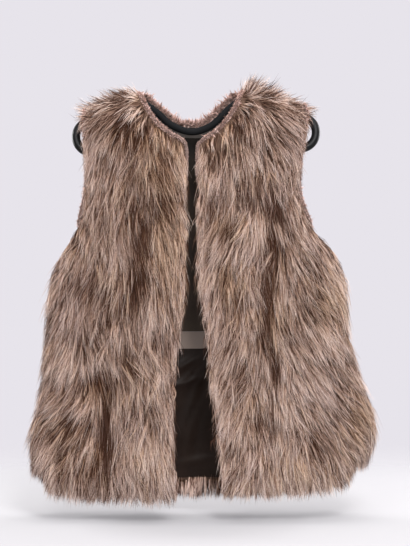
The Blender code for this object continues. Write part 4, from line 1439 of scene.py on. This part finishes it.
def grown_hair(panel, hairs, comb, shades, seed, columns=None, low=SKIN_HEM, high=1.0):
    """All hairs of one fur piece: points, sideways directions and tones.

    Wisps are scattered on the skin and drawn sideways towards the middle of their lock as they run out, and
    each hair starts near its wisp and closes in on it towards the tip. Locks belong to tufts, which share a
    turn, a height and a tone.
    """
    fur = bpy.context.scene.fur_vest_fur
    rng = np.random.default_rng(seed)
    columns = np.ones(panel.inner.shape[1], bool) if columns is None else columns
    inner = panel.inner[(panel.up >= low) & (panel.up <= high)][:, columns]
    area = sheet_area(inner)
    spacings = (fur.tuft_spacing, fur.lock_spacing, fur.wisp_spacing)
    places = [scatter(panel, int(area / gap**2) + 1, rng, columns, low, high) for gap in spacings]
    tuft_root, lock_root, root = (at_places(panel.inner, *place) for place in places)
    tufts, locks, wisps = (len(place[0]) for place in places)
    lock = nearest(root, lock_root)
    tuft = nearest(lock_root, tuft_root)[lock]

    def uneven(tuft_spread, lock_spread, wisp_spread):
        """A random value for each wisp, in part shared by its lock and its tuft."""
        shared = rng.normal(0, tuft_spread, tufts)[tuft] + rng.normal(0, lock_spread, locks)[lock]
        return shared + rng.normal(0, wisp_spread, wisps)

    grown = at_places(panel.hair, *places[2])
    length = fur.hair_length * grown
    length = length * rng.uniform(*LOCK_LENGTHS, locks)[lock] * rng.uniform(*WISP_LENGTHS, wisps)
    swerve = np.radians(uneven(*TURN_SPREAD))
    relief = ridges_at(root[:, 0], root[:, 2], comb, rng)
    valley, crest = np.clip(-relief - TROUGH_FROM, 0.0, 1.0), np.clip(relief, 0.0, 1.0)
    ahead = root[:, 2] - PATCH_AHEAD * length
    hollow = np.minimum(SHADE_DEPTH * shade_at(root[:, 0], ahead, shades)[0], 0.0)
    uplift = np.clip(uneven(*LIFT_SPREAD) + TROUGH_LIFT * valley + PATCH_LIFT * hollow, *LIFT_LIMITS)
    sideways = np.abs(unit(at_places(panel.normal, *places[2]))[:, 0])
    sideways = smooth_step((sideways - SIDE_TURN) / (1.0 - SIDE_TURN))
    fluff = SIDE_FLUFF * sideways * np.clip(np.abs(rng.normal(0, FLUFF_SPREAD, wisps)), 0.0, 1.0)
    on_shoulder = smooth_step((root[:, 2] - SHOULDER_LIFT_FROM) / SHOULDER_LIFT_OVER)
    rise = 1 + uplift + fluff + SHOULDER_LIFT * on_shoulder
    loose = np.where(rng.random((wisps, 1)) < LOOSE_SHARE, LOOSE_REACH, 1.0)
    loose = np.where(root[:, 2:] < LOOSE_BELOW, loose, 1.0)
    path, normal = combed_paths(panel, *places[2], length, swerve, rise[:, None], loose, comb)
    path, stood = crowned(path, root, rng)
    face = unit(normal + FACE_TURN * panel.facing * DEEP)
    side = unit(np.cross(path[:, -1] - path[:, 0], face))
    drawn = dot(lock_root[lock] - root, side)
    path = path + (side * drawn)[:, None] * DRAWN_IN
    path[:, 1] += side * rng.normal(0, WISP_WAVE, (wisps, 1))
    # Painted rim light where the skin turns sideways, painted light near the hem
    painted_rim = 1.0 - smooth_step(np.abs(normal[:, 1]) / PAINTED_RIM_SIDE_TURN)
    at_hem = 1.0 - smooth_step((places[2][0] / len(panel.up) - PAINTED_LIGHT_HEM_FROM) / PAINTED_LIGHT_HEM_OVER)
    paleness = PAINTED_RIM_SIDE * painted_rim + PAINTED_LIGHT_HEM * at_hem + PALE_STOOD * stood + PALE_SHORT * (1.0 - grown)
    paleness = np.clip(paleness + rng.uniform(0, PALE_RANDOM, wisps), 0.0, PALE_MOST)

    owner = np.sort(rng.integers(0, wisps, hairs))
    side, normal, own = side[owner], normal[owner], path[owner]
    flow = unit(own[:, -1] - own[:, 0])
    stagger = rng.uniform(-1, 1, (hairs, 1)) * STAGGER * length[owner][:, None]
    offset = side * rng.normal(0, fur.wisp_spacing * WISP_WIDTH, (hairs, 1))
    stray = np.clip(rng.normal(0, 1, (2, hairs, 1)), -FRIZZ_MOST, FRIZZ_MOST)
    frizz = (side * stray[0] + normal * FRIZZ_OUT * stray[1])[:, None]
    frizz = frizz * np.where(rng.random((hairs, 1, 1)) < STRAY_SHARE, STRAY_FRIZZ, 1.0)
    hair = own + offset[:, None] * CLOSED_IN + frizz * FRIZZ
    hair = hair[:, :1] + (hair - hair[:, :1]) * rng.uniform(*HAIR_LENGTHS, (hairs, 1, 1))
    hair = hair + (flow * stagger)[:, None]
    kind = rng.random((hairs, 1, 1))
    is_guard, is_dark = kind < GUARD_SHARE, kind > 1.0 - DARK_SHARE
    layer = np.where(is_guard, GUARD_LIFT, np.where(is_dark, -GUARD_LIFT, 0.0))
    hair = cut_at_hem(hair + normal[:, None] * layer * LAYERED, panel, rng)
    roll = rng.uniform(-RIBBON_TURN, RIBBON_TURN, (hairs, 1))
    across = unit(side * np.cos(roll) + face[owner] * np.sin(roll))

    # Painted shade and light of the patches, read where the hair shows
    seen = SEEN_MIDDLE * hair[:, 1] + SEEN_TIP * hair[:, 2]
    light, warmth = shade_at(seen[:, 0], seen[:, 2], shades)
    # Painted shade on low hair and in troughs, painted light on lifted hair and crests
    locked = uneven(*TONE_SPREAD) + LIFT_PAINTED_SHADE * uplift + TROUGH_PAINTED_SHADE * valley
    locked = locked + CREST_PAINTED_LIGHT * crest + STOOD_TONE * stood
    plain = PLAIN_TONE + locked[owner] + rng.normal(0, HAIR_TONE_SPREAD, hairs)
    shade = SHADE_DEPTH * light
    guard, dark = (
        single.tone + single.plain * (plain - SINGLE_MIDDLE) + single.shade * shade
        for single in (PALE_SINGLE, DARK_SINGLE)
    )
    tone = np.where(is_guard[:, 0, 0], guard, np.where(is_dark[:, 0, 0], dark, plain + shade))
    mood = warmth + uneven(*WARMTH_SPREAD)[owner] + rng.normal(0, HAIR_WARMTH_SPREAD, hairs)
    family = np.where(mood > WARM_FROM, 0, np.where(mood < -WARM_FROM, 2, 1))
    return hair, across, (family + np.clip(tone, *TONE_LIMITS)) / FAMILIES, paleness[owner]


def hair_piece(name, hair, across, tone, paleness, width, material, slot):
    """A mesh of tapered ribbons, one for each hair: pairs of points and a tip, mapped by tone and place.

    A hair's paleness is the place on the map, from root to tip, that its root starts at.
    """
    count, pairs = len(hair), hair.shape[1] - 1
    half = across[:, None] * (width * np.linspace(1.0, RIBBON_TAPER, pairs) / 2)[None, :, None]
    points = np.concatenate([hair[:, :-1] - half, hair[:, :-1] + half, hair[:, -1:]], axis=1)
    size = 2 * pairs + 1
    quads = [[k, pairs + k, pairs + k + 1, k + 1] for k in range(pairs - 1)]
    pattern = np.array(sum(quads, []) + [pairs - 1, 2 * pairs - 1, 2 * pairs])
    loops = (np.arange(count)[:, None] * size + pattern).ravel()
    starts = (np.arange(count)[:, None] * len(pattern) + 4 * np.arange(pairs)).ravel()
    mesh = bpy.data.meshes.new(name)
    mesh.vertices.add(count * size)
    mesh.vertices.foreach_set("co", points.astype(np.float32).ravel())
    mesh.loops.add(len(loops))
    mesh.loops.foreach_set("vertex_index", loops.astype(np.int32))
    mesh.polygons.add(len(starts))
    mesh.polygons.foreach_set("loop_start", starts.astype(np.int32))
    mesh.update(calc_edges=True)
    places = HAIR_PLACES if pairs > 1 else np.array([0.0, 1.0])
    v = np.concatenate([places[:-1], places[:-1], places[-1:]])[pattern]
    u = np.concatenate([-np.ones(pairs), np.ones(pairs), [0.0]])[pattern] * MAP_WIDTH
    v = paleness[:, None] + (1.0 - paleness[:, None]) * v
    uv = np.stack([tone[:, None] + u, v], axis=2)
    mesh.uv_layers.new(name="OFBake").data.foreach_set("uv", uv.astype(np.float32).ravel())
    mesh.shade_smooth()
    return finish_piece(name, mesh, material, ())


def roll_rings(inner, normal, pile, inside, facing, radius, end):
    """Rings of a turned edge: flattened circles beside the panel's edge, as thick as the panel is there.

    Near each end the rings shrink along a quarter circle, so the end is rounded.
    """
    outer = inner + normal * pile[:, None]
    through = unit(outer - inner)
    away = unit(np.cross(np.gradient(inner + outer, axis=0), through))
    away *= np.sign(dot(inner - inside, away))
    half = pile[:, None] * ROLL_FLATNESS / 2
    along = run_along(inner)
    from_end = np.clip(np.minimum(along, along[-1] - along) / end, 0.0, 1.0)
    size = np.maximum(np.sqrt(from_end * (2 - from_end)), ROLL_END)[:, None]
    middle = (inner + outer) / 2 + away * (radius * (2 * size - 1) + ROLL_GAP)
    turn = np.linspace(0.0, 2 * math.pi, ROLL_SIDES, endpoint=False)[None, :, None]
    rings = away[:, None] * radius * np.cos(turn) + (through * half)[:, None] * np.sin(turn)
    rings = middle[:, None] + rings * size[:, None]
    rings[..., 1] = facing * np.maximum(facing * rings[..., 1], SEAM_GAP / 2)
    return rings


def stubble_on(rings, edge, length, seed):
    """Short hairs on a roll: roots anywhere on its rings, pointing out from its middle with a random lean.

    A share of them, the fuzz, stands longer. Tips close up towards the tip of the nearest hair of a few.
    """
    rng = np.random.default_rng(seed)
    count = edge.hairs
    rows, sides = rings.shape[:2]
    closed = np.concatenate([rings, rings[:, :1]], axis=1)
    row, column = rng.random(count) * (rows - 1), rng.random(count) * sides
    root = at_places(closed, row, column)
    middle = at_places(np.repeat(rings.mean(axis=1, keepdims=True), 2, axis=1), row, np.zeros(count))
    out = unit(root - middle)
    aim = unit(out + rng.normal(0, STUBBLE_LEAN, (count, 3)) + np.array([0.0, 0.0, edge.lean]))
    long = np.where(rng.random((count, 1)) < edge.fuzz, FUZZ_LENGTH, 1.0)
    trim = taper(root[:, 2:] - edge.trim, TRIMMED_SHARE, TRIM_OVER)
    reach = length * rng.uniform(*STUBBLE_LENGTHS, (count, 1)) * long * trim
    clump = nearest(root, root[: count // STUBBLE_CLUMP])
    tip = root + aim * reach
    tip = tip + STUBBLE_CLOSED * (tip[clump] - tip)
    hair = np.stack([root - out * STUBBLE_ROOT, tip], axis=1)
    across = unit(np.cross(aim, out + rng.normal(0, STUBBLE_TWIST, (count, 3))))
    tone = STUBBLE_TONE + rng.normal(0, STUBBLE_CLUMP_SPREAD, count)[clump]
    tone = np.clip(tone + rng.normal(0, STUBBLE_HAIR_SPREAD, count), *TONE_LIMITS)
    family = np.where(rng.random(count) < STUBBLE_GREY_SHARE, 2, 1)
    return hair, across, (family + tone) / FAMILIES, np.full(count, STUBBLE_PALENESS)


def crease_height(x, z, creases):
    """Sum of soft ridges: for each crease, a bell curve across it times a bell curve along it."""
    total = np.zeros_like(x)
    for crease in creases:
        slope = math.radians(crease.slope)
        dx, dz = x - crease.x, z - crease.z
        along = dx * math.cos(slope) + dz * math.sin(slope)
        across = -dx * math.sin(slope) + dz * math.cos(slope)
        total += crease.height * np.exp(-((along / crease.length) ** 2) - (across / crease.width) ** 2)
    return total


def lining_strip(strip, back, columns):
    """A strip on the back's inside: the skin moved in by the gap, the cloth's thickness and the creases."""
    heights = np.linspace(strip.low, strip.high, strip.rows)
    skin = rows_at(back.inner, back.up, heights)[:, columns]
    inwards = -unit(rows_at(back.normal, back.up, heights)[:, columns])
    lift = strip.thickness + crease_height(skin[..., 0], skin[..., 2], strip.creases)
    near = skin + inwards * LINING_GAP
    far = near + inwards * lift[..., None]
    material = bpy.data.materials[f"{strip.finish}_weave"]
    return add_piece(f"{strip.node}_cloth", *wall(near, far), material, [strip.node], strip.finish), skin


def sheet_area(grid):
    """Area of a grid of points."""
    cross = np.cross(np.diff(grid, axis=0)[:, :-1], np.diff(grid, axis=1)[:-1])
    return float(np.linalg.norm(cross, axis=2).sum())


def pelt_piece(name, panel, material, node):
    """The skin and its under-wool: a wall from the skin to under half of the pile, down to the skin's hem."""
    rows = panel.up >= SKIN_HEM * PELT_HEM
    inner, normal = panel.inner[rows], panel.normal[rows]
    outer = inner + normal * (SKIN_THICKNESS + WOOL_SHARE * (panel.pile[rows] - SKIN_THICKNESS))[..., None]
    outer[..., 1] = panel.facing * np.maximum(panel.facing * outer[..., 1], SEAM_GAP / 2)
    piece = add_piece(name, *wall(inner, outer), material, [node], "fur")
    lined = np.repeat(panel.up[rows] >= LINING_HEM, inner.shape[1]).astype(np.float32)
    inside = piece.data.attributes.new("inside", "FLOAT", "POINT")
    inside.data.foreach_set("value", np.concatenate([lined, np.zeros_like(lined)]))
    return piece, inner


def round_rings(middle, out, radius):
    """Rings of a round bar: its middle line, plus the outward direction by a cosine and +Y by a sine."""
    turn = np.linspace(0.0, 2 * math.pi, BAR_SIDES, endpoint=False)[None, :, None]
    return middle[:, None] + radius * (out[:, None] * np.cos(turn) + DEEP * np.sin(turn))


class FURVEST_OT_materials(bpy.types.Operator):
    """Makes the node groups and the materials"""

    bl_idname = "furvest.materials"
    bl_label = "Materials"

    def execute(self, context):
        fur, lining = context.scene.fur_vest_fur, context.scene.fur_vest_lining
        plastic = context.scene.fur_vest_hanger.plastic
        make_hair_group()
        make_weave_group()
        hair_material("fur_hair", fur.middle, fur.tip)
        # The inner hem's hair is brightened as painted light
        hair_material("hem_hair", shaded(fur.middle, HEM_PAINTED_LIGHT_MIDDLE), shaded(fur.tip, HEM_PAINTED_LIGHT_TIP))
        hair_material("sheared_hair", shaded(fur.stubble, SHEARED_MIDDLE), fur.stubble)
        pelt_material("under_wool", fur.root, shaded(fur.middle, WOOL_PALE))
        pelt_material("sheared_skin", shaded(fur.stubble, SKIN_DARK), shaded(fur.stubble, SKIN_PALE))
        cloth_material("upper_lining_weave", lining.upper, WEAVES["upper"])
        cloth_material("satin_lining_weave", lining.satin, WEAVES["satin"])
        cloth_material("ribbon_weave", lining.ribbon, WEAVES["ribbon"])
        cloth_material("neck_facing_weave", lining.facing, WEAVES["facing"])
        plastic_material("ring_plastic", plastic, RING_FINISH)
        plastic_material("bar_plastic", shaded(plastic, BAR_SHADE), BAR_FINISH)
        return {"FINISHED"}


class FURVEST_OT_fronts(bpy.types.Operator):
    """Makes both fronts: pelt and hair"""

    bl_idname = "furvest.fronts"
    bl_label = "Fronts"

    def execute(self, context):
        fur, materials = context.scene.fur_vest_fur, bpy.data.materials
        for side, seed in FRONT_SEEDS.items():
            panel = front_panel(side, PELT_STEPS["front"])
            pelt, skin = pelt_piece(f"pelt_front_{side}", panel, materials["under_wool"], f"front_{side}")
            bed = front_panel(side, HAIR_BED_STEPS["front"])
            hair = grown_hair(bed, fur.hairs, FRONT_COMB, FRONT_SHADES, seed)
            piece = hair_piece(f"hair_front_{side}", *hair, fur.hair_width, materials["fur_hair"], "fur")
        return {"FINISHED"}


class FURVEST_OT_back(bpy.types.Operator):
    """Makes the back: pelt, two halves of hair and the hair that shows inside the hem"""

    bl_idname = "furvest.back"
    bl_label = "Back"

    def execute(self, context):
        fur, materials = context.scene.fur_vest_fur, bpy.data.materials
        panel = back_panel(PELT_STEPS["back"])[0]
        pelt, skin = pelt_piece("pelt_back", panel, materials["under_wool"], "back")
        bed = back_panel(HAIR_BED_STEPS["back"])[0]
        left = np.arange(bed.inner.shape[1]) < bed.inner.shape[1] // 2
        halves = {"left": left, "right": ~left}
        hairs = int(fur.hairs * BACK_HAIR_SHARE)
        for side, seed in BACK_SEEDS.items():
            hair = grown_hair(bed, hairs, BACK_COMB, BACK_SHADES, seed, halves[side])
            piece = hair_piece(f"hair_back_{side}", *hair, fur.hair_width, materials["fur_hair"], "fur")
        inner_hair = np.full_like(bed.hair, INNER_HEM_LENGTH)
        turned = bed._replace(normal=-bed.normal, pile=bed.pile * INNER_HEM_PILE, hair=inner_hair)
        grows = (INNER_HEM_FROM * SKIN_HEM, INNER_HEM_TO * LINING_HEM)
        hair = grown_hair(turned, INNER_HEM_HAIRS, BACK_COMB, BACK_SHADES, INNER_HEM_SEED, None, *grows)
        width = INNER_HEM_WIDTH * fur.hair_width
        # Its material is brightened as painted light
        hair_piece("hair_back_hem", *hair, width, materials["hem_hair"], "fur")
        return {"FINISHED"}


class FURVEST_OT_edges(bpy.types.Operator):
    """Makes the turned edges of neck and armholes with their sheared hair"""

    bl_idname = "furvest.edges"
    bl_label = "Turned edges"

    def execute(self, context):
        back, in_neck = back_panel(HAIR_BED_STEPS["back"])
        edges = []
        for side in ("left", "right"):
            panel = front_panel(side, HAIR_BED_STEPS["front"])
            neck = np.flatnonzero(panel.inner[:, 0, 2] > FRONT_ROLL_FROM)
            arm = np.flatnonzero(panel.up > underarm_share(side) + ARMHOLE_ROLL_FROM)
            column, inside = (0, 2) if side == "left" else (-1, -3)
            edges.append((f"neck_roll_{side}", panel, neck, 0, 1, NECK_EDGE))
            edges.append((f"armhole_roll_front_{side}", panel, arm, -1, -3, ARMHOLE_EDGE))
            edges.append((f"armhole_roll_back_{side}", back, arm, column, inside, ARMHOLE_EDGE))
        edges.append(("neck_roll_back", back, -1, in_neck, None, BACK_NECK_EDGE))
        for seed, (name, panel, rows, columns, inside, edge) in enumerate(edges, EDGE_SEED):
            beside = panel.inner[-3, columns] if inside is None else panel.inner[rows, inside]
            line = (grid[rows, columns] for grid in (panel.inner, panel.normal, panel.pile))
            rings = roll_rings(*line, beside, panel.facing, edge.radius, edge.end)
            self.add_edge(context, name, rings, edge, seed)
        return {"FINISHED"}

    def add_edge(self, context, name, rings, edge, seed):
        """One roll and its stubble."""
        materials = bpy.data.materials
        length = context.scene.fur_vest_fur.stubble_length * edge.length_share
        add_piece(f"{name}_skin", *tube(rings), materials["sheared_skin"], [name], "sheared_edge")
        stubble = stubble_on(rings, edge, length, seed)
        hair_piece(f"{name}_stubble", *stubble, STUBBLE_WIDTH, materials["sheared_hair"], "sheared_edge")


class FURVEST_OT_lining(bpy.types.Operator):
    """Makes what shows inside: lining, ribbon and neck facing"""

    bl_idname = "furvest.lining"
    bl_label = "Lining"

    def execute(self, context):
        back, in_neck = back_panel(LINING_STEPS)
        whole = np.ones(back.inner.shape[1], bool)
        for strip in STRIPS:
            piece, skin = lining_strip(strip, back, in_neck if strip.node == "neck_facing" else whole)
        return {"FINISHED"}


class FURVEST_OT_hanger(bpy.types.Operator):
    """Makes the hanger's bar and its two rings"""

    bl_idname = "furvest.hanger"
    bl_label = "Hanger"

    def execute(self, context):
        bar_finish, ring_finish = bpy.data.materials["bar_plastic"], bpy.data.materials["ring_plastic"]
        line = smooth_line(np.array(BAR_LINE), np.linspace(0.0, 1.0, BAR_STEPS))
        line = np.stack([line[:, 0], np.zeros(BAR_STEPS), line[:, 1]], axis=1)
        out = unit(np.cross(np.gradient(line, axis=0), DEEP))
        rings = round_rings(line, out, BAR_RADIUS)
        add_piece("hanger_bar", *tube(rings), bar_finish, ["hanger"], "hanger_plastic")
        angle = np.linspace(0.0, 2 * math.pi, RING_STEPS + 1)[:-1]
        out = np.stack([np.cos(angle), np.zeros(RING_STEPS), np.sin(angle)], axis=1)
        index = np.arange(RING_STEPS * BAR_SIDES).reshape(RING_STEPS, BAR_SIDES)
        right, above = np.roll(index, -1, axis=1), np.roll(index, -1, axis=0)
        faces = np.stack([index, right, np.roll(above, -1, axis=1), above], axis=2).reshape(-1, 4)
        for side, place in RINGS.items():
            middle = np.array([place.x, 0.0, place.z]) + RING_RADIUS * out
            points = round_rings(middle, out, RING_TUBE_RADIUS).reshape(-1, 3)
            add_piece(f"hanger_ring_{side}", points, faces, ring_finish, ["hanger"], "hanger_plastic")
        return {"FINISHED"}


class FURVEST_OT_stage(bpy.types.Operator):
    """Makes the floor, the light and the camera"""

    bl_idname = "furvest.stage"
    bl_label = "Stage"

    def execute(self, context):
        scene, settings = context.scene, context.scene.fur_vest_stage
        scene.view_settings.view_transform = "Standard"
        self.add_floor(scene, settings.floor_height)
        self.add_world(scene, settings)
        for light in LIGHTS:
            self.add_light(scene, light, getattr(settings, light.power))
        camera = bpy.data.cameras.new("camera")
        camera.sensor_width = SENSOR_WIDTH
        camera.lens = SENSOR_WIDTH * settings.camera_distance / settings.view_height
        holder = bpy.data.objects.new("camera", camera)
        holder.location = (settings.camera_x, -settings.camera_distance, settings.camera_z)
        holder.rotation_euler = (math.pi / 2, 0.0, 0.0)
        scene.collection.objects.link(holder)
        scene.camera = holder
        return {"FINISHED"}

    def add_floor(self, scene, height):
        """A pale disc under the vest that fades into the backdrop."""
        turn = np.linspace(0.0, 2 * math.pi, FLOOR_SIDES, endpoint=False)
        rim = (FLOOR_RADIUS * np.cos(turn), FLOOR_RADIUS * np.sin(turn), np.full(FLOOR_SIDES, height))
        mesh = bpy.data.meshes.new("floor")
        mesh.from_pydata(np.stack(rim, axis=1).tolist(), [], [list(range(FLOOR_SIDES))])
        material, tree, shader = new_tree("pale_floor")
        place = object_place(tree)
        dark, pale = (opaque(tone) for tone in FLOOR_TONES)
        level = {0: place, 1: (1.0, 1.0, 0.0)}
        level = add_node(tree, "ShaderNodeVectorMath", level, operation="MULTIPLY").outputs[0]
        away = add_node(tree, "ShaderNodeVectorMath", {0: level}, operation="LENGTH").outputs["Value"]
        values = {
            "Base Color": mix_colour(tree, noise(tree, place, FLOOR_CLOUDS), dark, pale),
            "Alpha": ramp(tree, away, FLOOR_FADE, (FLOOR_ALPHA, 0.0), "SMOOTHSTEP"),
            "Roughness": FLOOR_ROUGHNESS,
            "Specular IOR Level": FLOOR_GLOSS,
            # Painted glow: the floor gives off light that lightens the shadow under the vest
            "Emission Color": opaque(FLOOR_PAINTED_GLOW),
            "Emission Strength": 1.0,
        }
        set_inputs(tree, shader, values)
        mesh.materials.append(material)
        floor = bpy.data.objects.new("floor", mesh)
        scene.collection.objects.link(floor)

    def add_world(self, scene, settings):
        """Plain pale surroundings that light the vest more weakly than they show."""
        world = bpy.data.worlds.new("studio")
        world.use_nodes = True
        tree = world.node_tree
        tree.nodes.clear()
        seen = add_node(tree, "ShaderNodeBackground", {0: opaque(settings.backdrop), 1: 1.0}).outputs[0]
        lit = {0: opaque(AMBIENT_TINT), 1: settings.ambient}
        lit = add_node(tree, "ShaderNodeBackground", lit).outputs[0]
        ray = add_node(tree, "ShaderNodeLightPath").outputs["Is Camera Ray"]
        both = add_node(tree, "ShaderNodeMixShader", {0: ray, 1: lit, 2: seen}).outputs[0]
        add_node(tree, "ShaderNodeOutputWorld", {0: both})
        scene.world = world

    def add_light(self, scene, row, power):
        """A square area light that faces the middle of the vest."""
        light = bpy.data.lights.new(row.name, "AREA")
        light.size = row.size
        light.energy = power
        holder = bpy.data.objects.new(row.name, light)
        holder.location = row.place
        aim = LIGHT_AIM - np.array(row.place)
        tilt = math.atan2(aim[2], math.hypot(aim[0], aim[1]))
        holder.rotation_euler = (math.pi / 2 + tilt, 0.0, math.atan2(aim[1], aim[0]) - math.pi / 2)
        scene.collection.objects.link(holder)


class FURVEST_PT_build(bpy.types.Panel):
    """Lists the pieces in the sidebar"""

    bl_idname = "FURVEST_PT_build"
    bl_label = "Fur Vest"
    bl_space_type = "VIEW_3D"
    bl_region_type = "UI"
    bl_category = "Fur Vest"

    def draw(self, context):
        for operator in OPERATORS:
            self.layout.operator(operator.bl_idname)


SETTINGS = (
    ("fur_vest_fur", FurSettings),
    ("fur_vest_lining", LiningSettings),
    ("fur_vest_hanger", HangerSettings),
    ("fur_vest_stage", StageSettings),
)
OPERATORS = (
    FURVEST_OT_materials,
    FURVEST_OT_stage,
    FURVEST_OT_fronts,
    FURVEST_OT_back,
    FURVEST_OT_edges,
    FURVEST_OT_lining,
    FURVEST_OT_hanger,
)


def register():
    for name, group in SETTINGS:
        bpy.utils.register_class(group)
        setattr(bpy.types.Scene, name, bpy.props.PointerProperty(type=group))
    for item in OPERATORS + (FURVEST_PT_build,):
        bpy.utils.register_class(item)


def unregister():
    for item in reversed(OPERATORS + (FURVEST_PT_build,)):
        bpy.utils.unregister_class(item)
    for name, group in reversed(SETTINGS):
        delattr(bpy.types.Scene, name)
        bpy.utils.unregister_class(group)


def main():
    """Registers the add-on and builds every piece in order."""
    register()
    for operator in OPERATORS:
        getattr(bpy.ops.furvest, operator.bl_idname.removeprefix("furvest."))()
    bpy.context.view_layer.update()


if __name__ == "__main__":
    main()
